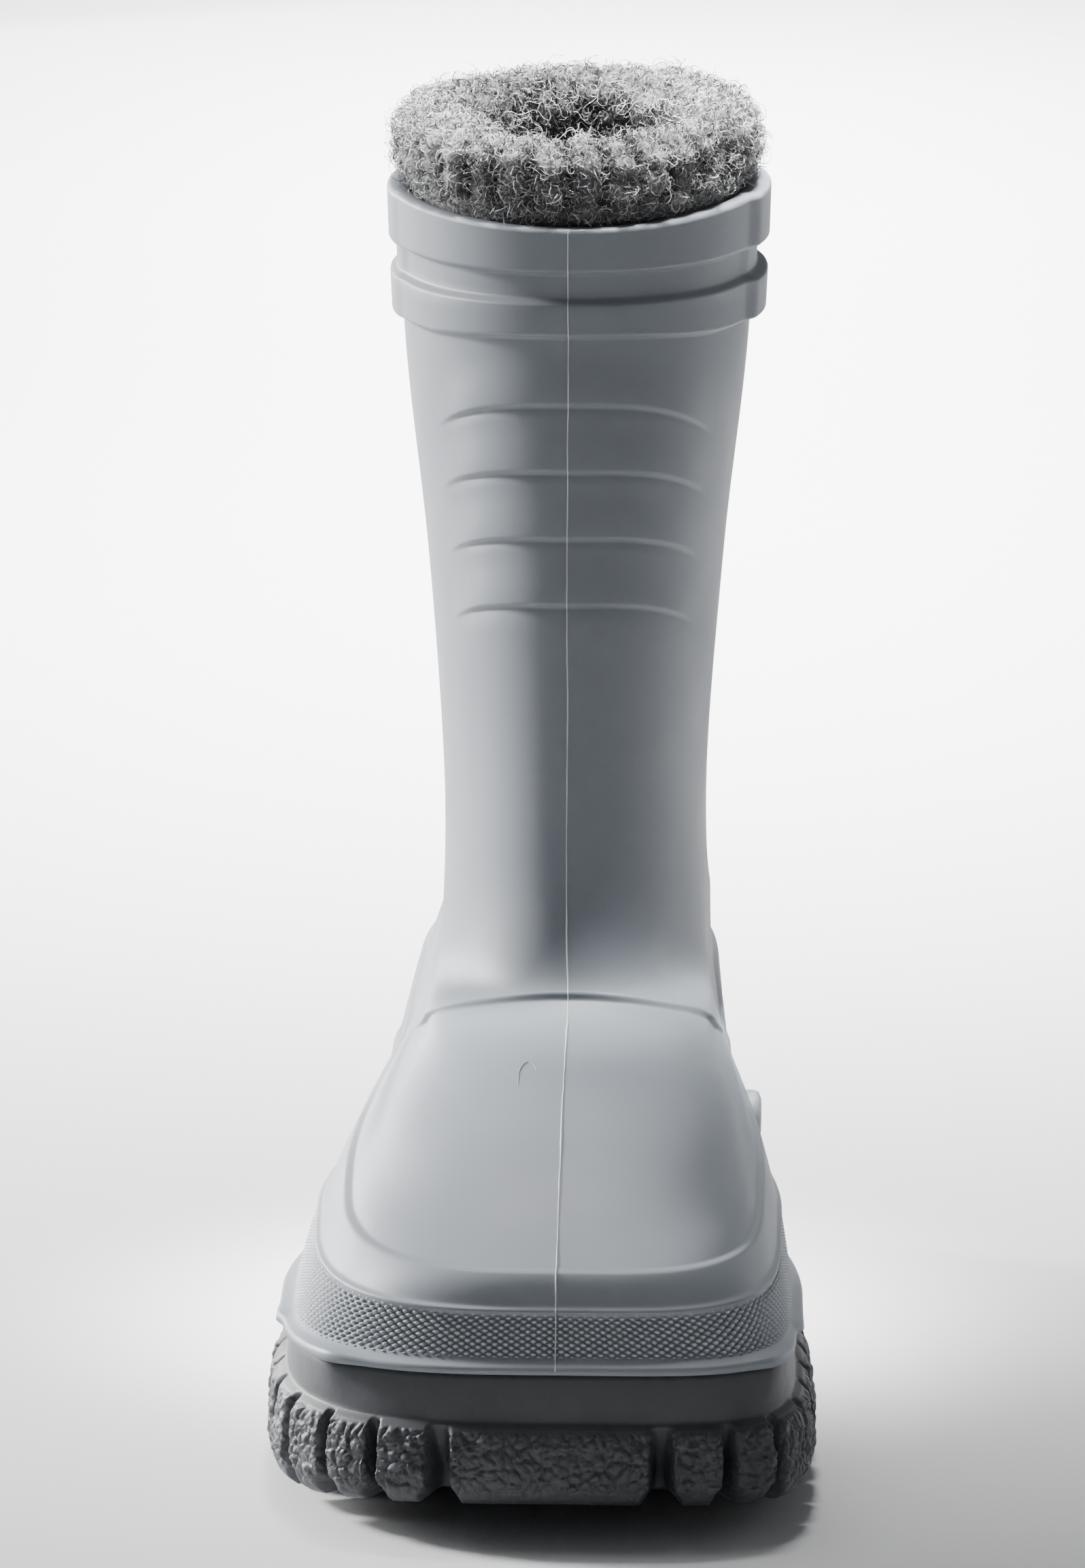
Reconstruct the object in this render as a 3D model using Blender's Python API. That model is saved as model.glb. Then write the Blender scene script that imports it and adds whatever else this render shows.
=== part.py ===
# Lined rubber boot for the right foot, standing on its sole.
# The toe points to -Y, the inner (medial) side of the foot is +X, and +Z is up.
# Sizes below are in millimetres. The meshes are in metres.
import bpy
import numpy as np

MM = 0.001
COLUMNS = 48            # mesh columns around the upper and the liner
FINE_STATIONS = 600     # samples along a meridian, for measuring lengths on it

# Upper: wall and raised details
WALL = 1.8
OVERLAY = 1.0           # toe band and counter stand proud of the vamp
OVERLAY_WALL = 3.0
FLANGE_HEIGHT = 1.8
FLANGE_TOE = 1.1
FLANGE_LATERAL = 2.4
FLANGE_MEDIAL = 2.0
FLANGE_CORNER_Y = -78.0
FLANGE_CORNER_RUN = 8.0
FLANGE_TAPER_Y = -20.0  # behind this the flange narrows to half
FLANGE_TAPER_RUN = 60.0
FLANGE_EDGE = 0.6
BEAD = 0.7              # thin ridge along the top of the foxing
BEAD_WIDTH = 0.6
INSTEP_STEP = 1.5
INSTEP_FADE = 22.0
INSTEP_Y = -14.0        # the instep step lies in a plane that falls towards the heel
INSTEP_Z = 72.4
INSTEP_FALL = 0.80
INSTEP_ROOM = 4.5       # least distance kept from the overlay's wall
INSTEP_WALL = 1.2
INSTEP_END = 0.22       # ends of the step, as shares of the boot's length from the toe
INSTEP_END_RUN = 0.26
FLEX_STEP = 0.9
FLEX_FADE = 8.0
FLEX_DROOP = 5.0
FLEX_REACH = 0.15
FLEX_RIDGES = 4
FLEX_WALL = 0.8
FLEX_END = 0.09
FLEX_END_RUN = 0.09
BAND_FRONT = 1.5        # collar bands stand this proud at the front
BAND_SIDE = 2.8         # and this proud behind the step on each side
BAND_STEP_AT = 0.30
BAND_STEP_RUN = 0.05
BAND_WALL = 1.0
RIM_ROUND = 0.5
PAD_X = 30.8            # plain wall under the round pad
PAD_Y = 31.0
PAD_Z = 40.5
PAD_RADIUS = 4.6
PAD_PROUD = 2.0
PAD_ROOT = 1.2          # sunk into the wall
PAD_EDGE = 0.7
PAD_SIDES = 20

# Outsole
JOINT_Z = 28.8          # top of the sole's rim is just below this
JOINT_TOE_RISE = 1.2
JOINT_RISE_Y = -66.0
JOINT_RISE_RUN = 40.0
CLEARANCE = 0.3
RIM_WIDTH = 5.0
CUP_DEPTH = 4.6
CUP_FLOOR_Z = JOINT_Z - CLEARANCE - CUP_DEPTH
INSOLE_PLAY = 0.7       # between the insole and the wall of the sole's cup
INSOLE_PLACES = 27
LEDGE_Z = 21.2          # top of the lugs
LUG_REACH = 13.0        # how far a lug runs in under the foot
TREAD_DEPTH = 5.0
TOE_SPRING = 8.0
TOE_SPRING_FROM = -48.0
TOE_Y = -109.0
HEEL_BEVEL = 1.2
HEEL_BEVEL_FROM = 92.0
ARCH_RISE = 3.0
ARCH_Y = 22.0
ARCH_HALF = 18.0

# Liner
LINER_GAP = 0.7
LINER_WALL = 4.5
RIB_DEPTH = 0.8

# Rings of the upper from its bottom edge to the rim. Each ring is one closed loop around the
# boot, its height given at the front, at two places along its length and at the back. Widths
# are half widths at the ball of the foot.
RING_COLUMNS = (
    "station", "front_y", "front_z", "quarter_z", "half_z", "back_z", "back_y", "lateral", "medial")
RINGS = {
    "base":   (0, -104.2, 30.0, 28.8, 28.8, 28.8, 103.5, 45.2, 38.8),
    "foxing": (10, -101.0, 39.8, 42.0, 42.3, 42.8, 102.0, 41.3, 37.1),
    "panel":  (17, -96.0, 44.2, 47.8, 62.0, 74.0, 100.5, 36.7, 33.7),
    "toe":    (25, -90.0, 48.8, 52.0, 64.4, 76.0, 100.3, 34.5, 32.2),
    "vamp":   (48, -69.0, 58.6, 58.8, 68.4, 79.0, 100.0, 30.2, 29.4),
    "rise":   (78, -40.0, 66.8, 67.0, 73.6, 82.0, 99.4, 24.9, 24.9),
    "instep": (106, -14.0, 73.0, 74.6, 79.5, 85.5, 98.6, 24.1, 24.1),
    "ankle":  (129, -8.6, 95.0, 95.0, 95.0, 96.0, 96.6, 23.4, 23.4),
    "flex4":  (176, -7.0, 141.9, 141.9, 141.9, 141.9, 91.8, 26.4, 26.4),
    "flex1":  (211, -6.2, 177.4, 176.6, 176.2, 176.2, 89.4, 30.2, 30.2),
    "cuff":   (223, -6.0, 189.4, 186.5, 186.0, 186.0, 89.0, 31.0, 31.0),
    "groove": (229, -6.0, 195.7, 196.4, 196.6, 196.6, 88.8, 31.4, 31.4),
    "top":    (234, -6.0, 200.7, 199.8, 199.6, 199.6, 88.7, 31.6, 31.6),
    "rim":    (242, -6.0, 208.6, 209.6, 210.0, 210.0, 88.6, 31.9, 31.9),
}
# The same rings in plan: where their middle lies at toe and heel, how long and how square their
# rounded ends are, and the widths at waist and heel as shares of those at the ball. The rings
# above the flex ridges have the plan of the last row.
PLAN_COLUMNS = (
    "front_x", "back_x", "toe_round", "toe_lateral", "toe_medial", "heel_round", "heel_power",
    "waist", "heel")
RING_PLANS = {
    "base":   (4.0, 1.0, 0.262, 3.45, 5.0, 0.22, 2.3, 0.792, 0.764),
    "foxing": (4.0, -0.2, 0.300, 3.7, 4.7, 0.22, 2.3, 0.796, 0.765),
    "panel":  (4.0, 2.3, 0.262, 3.0, 4.2, 0.25, 2.2, 0.765, 0.73),
    "toe":    (3.9, 2.2, 0.255, 2.8, 3.7, 0.26, 2.2, 0.78, 0.75),
    "vamp":   (3.7, 2.2, 0.24, 2.4, 2.7, 0.28, 2.2, 0.84, 0.82),
    "rise":   (3.4, 2.3, 0.24, 2.2, 2.2, 0.30, 2.15, 0.98, 0.97),
    "instep": (3.1, 2.5, 0.36, 2.15, 2.15, 0.36, 2.1, 0.99, 0.98),
    "ankle":  (2.7, 2.7, 0.44, 2.1, 2.1, 0.44, 2.1, 1.0, 1.0),
    "flex4":  (2.7, 2.7, 0.5, 2.05, 2.05, 0.5, 2.05, 1.0, 1.0),
    "flex1":  (2.8, 2.8, 0.5, 2.05, 2.05, 0.5, 2.05, 1.0, 1.0),
}
HEIGHT_AT = (0.0, 0.2, 0.5, 1.0)
WAIST_Y = 20.0          # the rings are narrowest here, between ball and heel
WAIST_RUN = 0.12        # shortest run of the narrowing, as a share of the ring's length

# Outline of the sole's rand in plan, in the same columns as a ring
RAND_WIDTHS = dict(
    front_y=-105.4, back_y=105.4, lateral=46.0, medial=40.35, front_x=4.0, back_x=-1.4,
    toe_round=0.262, toe_lateral=3.4, toe_medial=4.8, heel_round=0.22, heel_power=2.3,
    waist=0.79, heel=0.77)

# Sole layout along half of its outline, from the middle of the toe to the middle of the heel
FRONT_LUG_HALF = 15.8
HEEL_LUG_HALF = 12.6
LUG_LENGTH = 8.4
LUG_GAP = 3.4
LUG_SLOPE = 0.6         # a lug's side walls lean by this much
FOREFOOT_LUGS = 10
HEEL_LUGS = 6
# Profile of the sole's side below the ledge: how far it stands out from the rand, and its height
# as a share of the way from the tread (0) up to the ledge (1), for a lug and for the gap beside it
SIDE_COLUMNS = ("lug_out", "lug_height", "gap_out", "gap_height")
SIDE_PROFILE = (
    (2.7, 0.96, 0.1, 0.93),
    (3.6, 0.62, -0.7, 0.72),
    (3.2, 0.22, -2.6, 0.50),
    (1.4, 0.00, -6.0, 0.32),
)
# Bars of the tread: place along the foot, half length across it and half width
BAR_COLUMNS = ("y", "half_length", "half_width")
TREAD_BARS = ((-72.0, 17.0, 4.0), (-54.0, 22.0, 4.0), (-36.0, 22.0, 4.0), (-18.0, 18.0, 4.0),
              (64.0, 12.0, 4.0), (80.0, 12.0, 4.0))
BAR_SINK = 2.0
BAR_BEND = 5.0          # the ends of a bar lie this far behind its middle
BAR_X = 0.5

# Section of the liner's rolled cuff: distance in (-) or out (+) from the rim ring, height above it
ROLL_COLUMNS = ("out", "up", "rib")
ROLL_SECTION = (
    (-2.3, 0.8, 0.0), (-0.4, 2.6, 0.6), (0.9, 5.6, 1.0), (0.4, 9.6, 1.0), (-2.6, 13.4, 1.0),
    (-7.4, 15.2, 0.8), (-12.0, 13.2, 0.8), (-14.6, 8.4, 0.8), (-14.8, 2.0, 0.6), (-12.6, -6.0, 0.3),
    (-9.0, -15.0, 0.0))
ROLL_END_DROP = 26.0

MATERIALS = {
    # colour, roughness
    "outsole": ((0.060, 0.064, 0.070), 0.62),
    "upper": ((0.300, 0.312, 0.330), 0.42),
    "liner": ((0.360, 0.358, 0.352), 0.95),
    "insole": ((0.250, 0.245, 0.240), 0.90),
}


def smooth(x):
    x = np.clip(x, 0.0, 1.0)
    return x * x * (3.0 - 2.0 * x)


def edge(distance, run):
    """0 before an edge and 1 after it, rising smoothly over the run."""
    return smooth(distance / run + 0.5)


def through(stations, values, x):
    """Smooth curve through values at the stations that never overshoots them, read at x."""
    x = np.asarray(x, float)
    values = [np.broadcast_to(np.asarray(v, float), x.shape) for v in values]
    steps = np.diff(stations)
    rises = [(b - a) / h for a, b, h in zip(values, values[1:], steps)]
    slopes = [rises[0]]
    for a, b in zip(rises, rises[1:]):
        same = a * b > 0
        total = np.where(same, a + b, 1.0)
        slopes.append(np.where(same, 2.0 * a * b / total, 0.0))
    slopes.append(rises[-1])
    result = values[0] + 0.0 * x
    for k, h in enumerate(steps):
        s = np.clip((x - stations[k]) / h, 0.0, 1.0)
        piece = (values[k] * (1 + 2 * s) * (1 - s) ** 2 + values[k + 1] * s * s * (3 - 2 * s)
                 + h * slopes[k] * s * (1 - s) ** 2 - h * slopes[k + 1] * s * s * (1 - s))
        result = np.where(x >= stations[k], piece, result)
    return result


def outline(u, c):
    """Plan of a foot outline at u: 0 is the toe, 0.5 the heel, the medial side between them."""
    u = np.mod(u, 1.0)
    side = np.where(u < 0.5, 1.0, -1.0)
    t = (1.0 - np.cos(2.0 * np.pi * u)) / 2.0
    power = np.where(side > 0, c["toe_medial"], c["toe_lateral"])
    toe = (1.0 - (1.0 - np.clip(t / c["toe_round"], 0, 1)) ** power) ** (1.0 / power)
    power = c["heel_power"]
    heel = (1.0 - (1.0 - np.clip((1.0 - t) / c["heel_round"], 0, 1)) ** power) ** (1.0 / power)
    waist_at = (WAIST_Y - c["front_y"]) / (c["back_y"] - c["front_y"])
    narrows = np.minimum(c["toe_round"], waist_at - WAIST_RUN)
    to_waist = smooth((t - narrows) / (waist_at - narrows))
    to_heel = smooth((t - waist_at) / (1.0 - c["heel_round"] - waist_at))
    body = 1.0 + (c["waist"] - 1.0) * to_waist + (c["heel"] - c["waist"]) * to_heel
    half = np.where(side > 0, c["medial"], c["lateral"]) * body * toe * heel
    x = c["back_x"] + (c["front_x"] - c["back_x"]) * (1.0 - t) + side * half
    y = c["front_y"] + (c["back_y"] - c["front_y"]) * t
    return x, y, t, side


def skin(u, station):
    """Point of the plain upper, without its raised details, at u on the ring of that station."""
    last = list(RING_PLANS.values())[-1]
    table = np.array([row + RING_PLANS.get(name, last) for name, row in RINGS.items()])
    columns = RING_COLUMNS + PLAN_COLUMNS
    c = {name: through(table[:, 0], table[:, k], station) for k, name in enumerate(columns)}
    x, y, t, _ = outline(u, c)
    z = through(HEIGHT_AT, (c["front_z"], c["quarter_z"], c["half_z"], c["back_z"]), t)
    return np.stack([x, y, z], -1)


def joint_z(y):
    """Height where sole and upper meet: level, and a little higher round the toe."""
    return JOINT_Z + JOINT_TOE_RISE * smooth((JOINT_RISE_Y - y) / JOINT_RISE_RUN)


class Upper:
    """The upper's surface, with lengths measured up each of its meridians."""

    def __init__(self, columns):
        self.u = np.arange(columns) / columns
        self.stations = np.linspace(0.0, RINGS["rim"][0], FINE_STATIONS)
        grid_u, grid_s = np.meshgrid(self.u, self.stations, indexing="ij")
        points = skin(grid_u, grid_s)
        lengths = np.linalg.norm(np.diff(points, axis=1), axis=2)
        self.length = np.concatenate([np.zeros((columns, 1)), np.cumsum(lengths, axis=1)], axis=1)
        self.t = (1.0 - np.cos(2.0 * np.pi * self.u)) / 2.0
        self.side = np.where(self.u < 0.5, 1.0, -1.0)

    def at(self, ring, offset=0.0):
        """Length along each meridian at a named ring or a station, moved up by offset."""
        station = RINGS[ring][0] if ring in RINGS else ring
        return np.array([np.interp(station, self.stations, row) for row in self.length]) + offset

    def station(self, length):
        return np.array([np.interp(m, row, self.stations) for m, row in zip(length, self.length)])

    def normal(self, station):
        du, ds = 0.002, 0.4
        higher = np.minimum(station + ds, self.stations[-1])
        lower = np.maximum(station - ds, 0.0)
        along = skin(self.u + du, station) - skin(self.u - du, station)
        n = np.cross(along, skin(self.u, higher) - skin(self.u, lower))
        return n / np.linalg.norm(n, axis=1, keepdims=True)

    def row(self, length, out=0.0):
        """Loop of points at that length up the meridians, moved out along the normals."""
        station = self.station(length)
        out = np.broadcast_to(out, self.u.shape)
        return skin(self.u, station) + self.normal(station) * out[:, None]

    def flange(self):
        y = skin(self.u, np.zeros_like(self.u))[:, 1]
        wide = np.where(self.side > 0, FLANGE_MEDIAL, FLANGE_LATERAL)
        ramp = np.clip((y - FLANGE_CORNER_Y) / FLANGE_CORNER_RUN, 0.0, 1.0)
        narrow = smooth((y - FLANGE_TAPER_Y) / FLANGE_TAPER_RUN)
        return FLANGE_TOE + (wide - FLANGE_TOE) * ramp * (1.0 - 0.5 * narrow)

    def instep_line(self):
        """Length at which each meridian meets the plane of the instep step, kept above the overlay."""
        grid_u, grid_s = np.meshgrid(self.u, self.stations, indexing="ij")
        points = skin(grid_u, grid_s)
        above = points[:, :, 2] - INSTEP_Z + INSTEP_FALL * (points[:, :, 1] - INSTEP_Y)
        first = np.array([np.interp(0.0, row, length) for row, length in zip(above, self.length)])
        return np.maximum(first, self.at("panel", OVERLAY_WALL + INSTEP_ROOM))

    def flex_line(self, k):
        """Length of one flex ridge, which droops away from the middle of the shaft."""
        low, high = RINGS["flex4"][0], RINGS["flex1"][0]
        station = low + (high - low) * k / (FLEX_RIDGES - 1)
        return self.at(station) - FLEX_DROOP * np.clip(self.t / FLEX_REACH, 0.0, 1.0)

    def raised(self, length):
        """How far the moulded details stand out of the plain skin at that length."""
        out = OVERLAY * (1.0 - smooth((length - self.at("panel")) / OVERLAY_WALL))
        out = out + self.flange() * (1.0 - smooth((length - FLANGE_HEIGHT) / FLANGE_EDGE))
        out = out + BEAD * np.exp(-((length - self.at("foxing")) / BEAD_WIDTH) ** 2)
        above = length - self.instep_line()
        ends = 1.0 - smooth((self.t - INSTEP_END) / INSTEP_END_RUN)
        fade = 1.0 - smooth((above - 1.0) / INSTEP_FADE)
        out = out + INSTEP_STEP * ends * edge(above, INSTEP_WALL) * fade
        ends = 1.0 - smooth((self.t - FLEX_END) / FLEX_END_RUN)
        for k in range(FLEX_RIDGES):
            above = length - self.flex_line(k)
            fade = 1.0 - smooth((above - 0.5) / FLEX_FADE)
            out = out + FLEX_STEP * ends * edge(above, FLEX_WALL) * fade
        sideways = smooth((self.t - BAND_STEP_AT) / BAND_STEP_RUN)
        band = BAND_FRONT + (BAND_SIDE - BAND_FRONT) * sideways
        lower = edge(length - self.at("cuff"), BAND_WALL) - edge(length - self.at("groove"), BAND_WALL)
        return out + band * (lower + edge(length - self.at("top"), BAND_WALL))


def between(a, b, shares):
    return [a + (b - a) * s for s in shares]


def material(name):
    colour, roughness = MATERIALS[name]
    mat = bpy.data.materials.new(name)
    mat.use_nodes = True
    shader = mat.node_tree.nodes["Principled BSDF"]
    shader.inputs["Base Color"].default_value = (*colour, 1.0)
    shader.inputs["Roughness"].default_value = roughness
    shader.inputs["Metallic"].default_value = 0.0
    return mat


def add_object(name, points, faces):
    """Mesh object from points in millimetres, its faces turned outwards."""
    points = np.asarray(points) * MM
    corners = [points[[f[0], f[k], f[k + 1]]] for f in faces for k in range(1, len(f) - 1)]
    volume = sum(np.dot(a, np.cross(b, c)) for a, b, c in corners)
    if volume < 0:
        faces = [tuple(reversed(f)) for f in faces]
    mesh = bpy.data.meshes.new(name)
    mesh.from_pydata(points.tolist(), [], faces)
    mesh.shade_smooth()
    mesh.set_sharp_from_angle(angle=0.6)
    obj = bpy.data.objects.new(name, mesh)
    bpy.context.scene.collection.objects.link(obj)
    mesh.materials.append(material(name) if name in MATERIALS else None)
    return obj


def loop_faces(rows, columns, closed):
    """Triangles between neighbouring loops; closed joins the last loop to the first."""
    faces = []
    for r in range(rows if closed else rows - 1):
        low, high = r * columns, (r + 1) % rows * columns
        for i in range(columns):
            j = (i + 1) % columns
            faces += [(low + i, low + j, high + j), (low + i, high + j, high + i)]
    return faces


def ladder_faces(first, columns):
    """Fills a loop whose points start at the toe, with rungs from its one side to the other."""
    faces = []
    half = columns // 2
    for i in range(half):
        a, b = first + i, first + i + 1
        c, d = first + (columns - i - 1) % columns, first + (columns - i) % columns
        if i == 0:
            faces.append((a, b, c))
        elif i == half - 1:
            faces.append((a, b, d))
        else:
            faces += [(a, b, c), (a, c, d)]
    return faces


def build_upper(form):
    m = form.at
    outer = [m("base"), m("base", FLANGE_HEIGHT - 0.1), m("base", FLANGE_HEIGHT + 0.7)]
    outer += [m("foxing", -1.0), m("foxing"), m("foxing", 1.0)]
    outer += [m("panel", -0.1), m("panel", 1.5), m("panel", OVERLAY_WALL)]
    step = form.instep_line()
    outer += between(m("panel", OVERLAY_WALL), step - 0.7, (0.10, 0.24, 0.45, 0.72, 1.0))
    outer += [step + 0.7]
    outer += between(step + 0.7, form.flex_line(0) - 0.5, (0.14, 0.30, 0.52, 0.76))
    for k in range(FLEX_RIDGES):
        line = form.flex_line(k)
        outer += [line - 0.5, line + 0.5, line + 5.0]
    for ring in ("cuff", "groove", "top"):
        outer += [m(ring, -0.6), m(ring, 0.6)]
    outer += [m("rim", -RIM_ROUND)]
    inner = inner_lengths(form)
    rows = [form.row(length, form.raised(length)) for length in outer]
    rows.append(form.row(m("rim"), form.raised(m("rim")) - RIM_ROUND))
    rows += [form.row(length, -WALL) for length in reversed(inner)]
    for loop in (rows[0], rows[-1]):
        loop[:, 2] = joint_z(loop[:, 1])
    shell = add_object("upper", np.concatenate(rows), loop_faces(len(rows), COLUMNS, True))
    add_pad(form, shell)
    return shell


def inner_lengths(form):
    """Rows of the wall's inner face, which the liner follows too."""
    m = form.at
    lengths = [m("base"), m("foxing", -1.0)]
    lengths += between(m("panel"), m("instep"), (0.0, 0.10, 0.22, 0.36, 0.52, 0.68, 0.84, 1.0))
    lengths += between(m("instep"), m("flex4"), (0.5, 1.0))
    return lengths + [m("flex1"), m("rim")]


def add_pad(form, shell):
    """Round smooth pad on the medial side, joined to the wall."""
    turns = np.arange(PAD_SIDES) * 2.0 * np.pi / PAD_SIDES
    face = PAD_X + OVERLAY + PAD_PROUD
    loops = ((PAD_X - PAD_ROOT, PAD_RADIUS), (face - PAD_EDGE, PAD_RADIUS), (face, PAD_RADIUS - PAD_EDGE))
    rings = []
    for x, radius in loops:
        y = PAD_Y + radius * np.cos(turns)
        z = PAD_Z + radius * np.sin(turns)
        rings.append(np.stack([x + 0.0 * turns, y, z], -1))
    back = tuple(range(PAD_SIDES - 1, -1, -1))
    front = tuple(range(2 * PAD_SIDES, 3 * PAD_SIDES))
    mesh = bpy.data.meshes.new("pad")
    faces = loop_faces(3, PAD_SIDES, False) + [back, front]
    mesh.from_pydata((np.concatenate(rings) * MM).tolist(), [], faces)
    pad = bpy.data.objects.new("pad", mesh)
    bpy.context.scene.collection.objects.link(pad)
    pad.hide_render = True
    pad.display_type = "WIRE"
    cut = shell.modifiers.new("pad", "BOOLEAN")
    cut.operation = "UNION"
    cut.object = pad


def sole_z(y):
    """Height of the tread: flat under ball and heel, rising at the toe and a little at the heel."""
    toe = np.clip((TOE_SPRING_FROM - y) / (TOE_SPRING_FROM - TOE_Y), 0.0, 1.0)
    heel = np.clip((y - HEEL_BEVEL_FROM) / (-TOE_Y - HEEL_BEVEL_FROM), 0.0, 1.0)
    return TOE_SPRING * toe ** 1.3 + HEEL_BEVEL * heel ** 2


def rand_curve(side):
    """Half of the rand's outline, dense, from toe to heel, with its length and outward normals."""
    u = np.linspace(0.0, 0.5, 1200)
    x, y, _, _ = outline(u if side > 0 else 1.0 - u[:-1], RAND_WIDTHS)
    if side < 0:
        x = np.append(x, RAND_WIDTHS["back_x"])
        y = np.append(y, RAND_WIDTHS["back_y"])
        x[0], y[0] = RAND_WIDTHS["front_x"], RAND_WIDTHS["front_y"]
    points = np.stack([x, y], -1)
    length = np.concatenate([[0.0], np.cumsum(np.linalg.norm(np.diff(points, axis=0), axis=1))])
    tangent = np.gradient(points, axis=0)
    normal = np.stack([tangent[:, 1], -tangent[:, 0]], -1) * -side
    normal *= np.sign(normal[len(normal) // 3, 0] * side)
    normal /= np.linalg.norm(normal, axis=1, keepdims=True)
    normal[0], normal[-1] = (0.0, -1.0), (0.0, 1.0)
    return points, length, normal


def sole_marks(total):
    """Places along half the outline, each with 1 on a lug and 0 in a gap."""
    marks = [(0.0, 1), (FRONT_LUG_HALF * 0.55, 1), (FRONT_LUG_HALF, 1)]
    place = FRONT_LUG_HALF

    def add_gap(place, gap):
        marks.extend([(place + LUG_SLOPE, 0), (place + gap - LUG_SLOPE, 0)])
        return place + gap

    def add_lug(place):
        marks.extend([(place, 1), (place + LUG_LENGTH, 1)])
        return place + LUG_LENGTH

    for _ in range(FOREFOOT_LUGS):
        place = add_lug(add_gap(place, LUG_GAP))
    heel_run = HEEL_LUG_HALF + HEEL_LUGS * (LUG_LENGTH + LUG_GAP) + LUG_GAP
    arch = total - heel_run - place
    marks.extend([(place + LUG_SLOPE, 0)] + [(place + arch * k / 4, 0) for k in (1, 2, 3)])
    place += arch + LUG_GAP
    marks.append((place - LUG_SLOPE, 0))
    for _ in range(HEEL_LUGS):
        place = add_gap(add_lug(place), LUG_GAP)
    marks.extend([(place, 1), (place + HEEL_LUG_HALF * 0.5, 1), (total, 1)])
    return marks


def build_outsole():
    sides = []
    for side in (1, -1):
        points, length, normal = rand_curve(side)
        marks = sole_marks(length[-1])
        at = np.array([place for place, _ in marks])
        lug = np.array([on for _, on in marks], float)
        p = np.stack([np.interp(at, length, points[:, k]) for k in (0, 1)], -1)
        n = np.stack([np.interp(at, length, normal[:, k]) for k in (0, 1)], -1)
        sides.append((p, n / np.linalg.norm(n, axis=1, keepdims=True), lug))
    (p1, n1, l1), (p2, n2, l2) = sides
    plan = np.concatenate([p1, p2[-2:0:-1]])
    normal = np.concatenate([n1, n2[-2:0:-1]])
    lug = np.concatenate([l1, l2[-2:0:-1]])

    def loop(out, z):
        out = np.broadcast_to(out, len(plan))
        return np.column_stack([plan + normal * out[:, None], np.broadcast_to(z, len(plan))])

    top = joint_z(plan[:, 1]) - CLEARANCE
    tread = sole_z(plan[:, 1])
    arch = ARCH_RISE * (1.0 - smooth(np.abs(plan[:, 1] - ARCH_Y) / ARCH_HALF))
    base = tread + TREAD_DEPTH + arch
    rows = [loop(-RIM_WIDTH - 0.2, CUP_FLOOR_Z), loop(-RIM_WIDTH, top), loop(0.0, top)]
    rows.append(loop(0.6, LEDGE_Z + 0.4))
    for profile in SIDE_PROFILE:
        part = dict(zip(SIDE_COLUMNS, profile))
        out = lug * part["lug_out"] + (1 - lug) * part["gap_out"]
        low = tread + arch * (1 - lug)
        share = lug * part["lug_height"] + (1 - lug) * part["gap_height"]
        rows.append(loop(out, low + (LEDGE_Z - low) * share))
    rows.append(loop(-LUG_REACH, lug * tread + (1 - lug) * base))
    rows.append(loop(-LUG_REACH - 1.0, base))
    columns = len(plan)
    faces = loop_faces(len(rows), columns, False)
    faces += [tuple(reversed(f)) for f in ladder_faces(0, columns)]
    faces += ladder_faces((len(rows) - 1) * columns, columns)
    sole = add_object("outsole", np.concatenate(rows), faces)
    for k, bar in enumerate(TREAD_BARS):
        add_bar(sole, k, dict(zip(BAR_COLUMNS, bar)))
    return sole


def add_bar(sole, k, bar):
    """One bar of the tread, a shallow chevron joined to the sole."""
    y, reach, half = bar["y"], bar["half_length"], bar["half_width"]
    points = []
    for z_top in (False, True):
        for x, bend in ((-reach, BAR_BEND), (0.0, 0.0), (reach, BAR_BEND)):
            for across in (-half, half):
                place = y + across + bend
                z = sole_z(np.array(place)) + (TREAD_DEPTH + BAR_SINK if z_top else 0.0)
                points.append((x + BAR_X, place, float(z)))
    quads = [(0, 1, 3, 2), (2, 3, 5, 4), (6, 8, 9, 7), (8, 10, 11, 9), (0, 2, 8, 6), (2, 4, 10, 8),
             (1, 7, 9, 3), (3, 9, 11, 5), (0, 6, 7, 1), (4, 5, 11, 10)]
    mesh = bpy.data.meshes.new("bar")
    mesh.from_pydata((np.array(points) * MM).tolist(), [], [tuple(reversed(q)) for q in quads])
    bar_object = bpy.data.objects.new(f"bar_{k}", mesh)
    bpy.context.scene.collection.objects.link(bar_object)
    bar_object.hide_render = True
    bar_object.display_type = "WIRE"
    join = sole.modifiers.new(f"bar_{k}", "BOOLEAN")
    join.operation = "UNION"
    join.object = bar_object


def build_insole():
    plan = np.concatenate([rand_places(1), rand_places(-1)[-2:0:-1]])
    top = joint_z(plan[:, 1]) - CLEARANCE
    floor = np.full(len(plan), CUP_FLOOR_Z + CLEARANCE)
    rows = [np.column_stack([plan, floor]), np.column_stack([plan, top])]
    faces = loop_faces(2, len(plan), False)
    faces += [tuple(reversed(f)) for f in ladder_faces(0, len(plan))]
    faces += ladder_faces(len(plan), len(plan))
    return add_object("insole", np.concatenate(rows), faces)


def rand_places(side):
    """Evenly spaced points inside the sole's cup along one side, from toe to heel."""
    points, length, normal = rand_curve(side)
    at = np.linspace(0.0, length[-1], INSOLE_PLACES)
    inside = points - normal * (RIM_WIDTH + INSOLE_PLAY)
    return np.stack([np.interp(at, length, inside[:, k]) for k in (0, 1)], -1)


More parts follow.
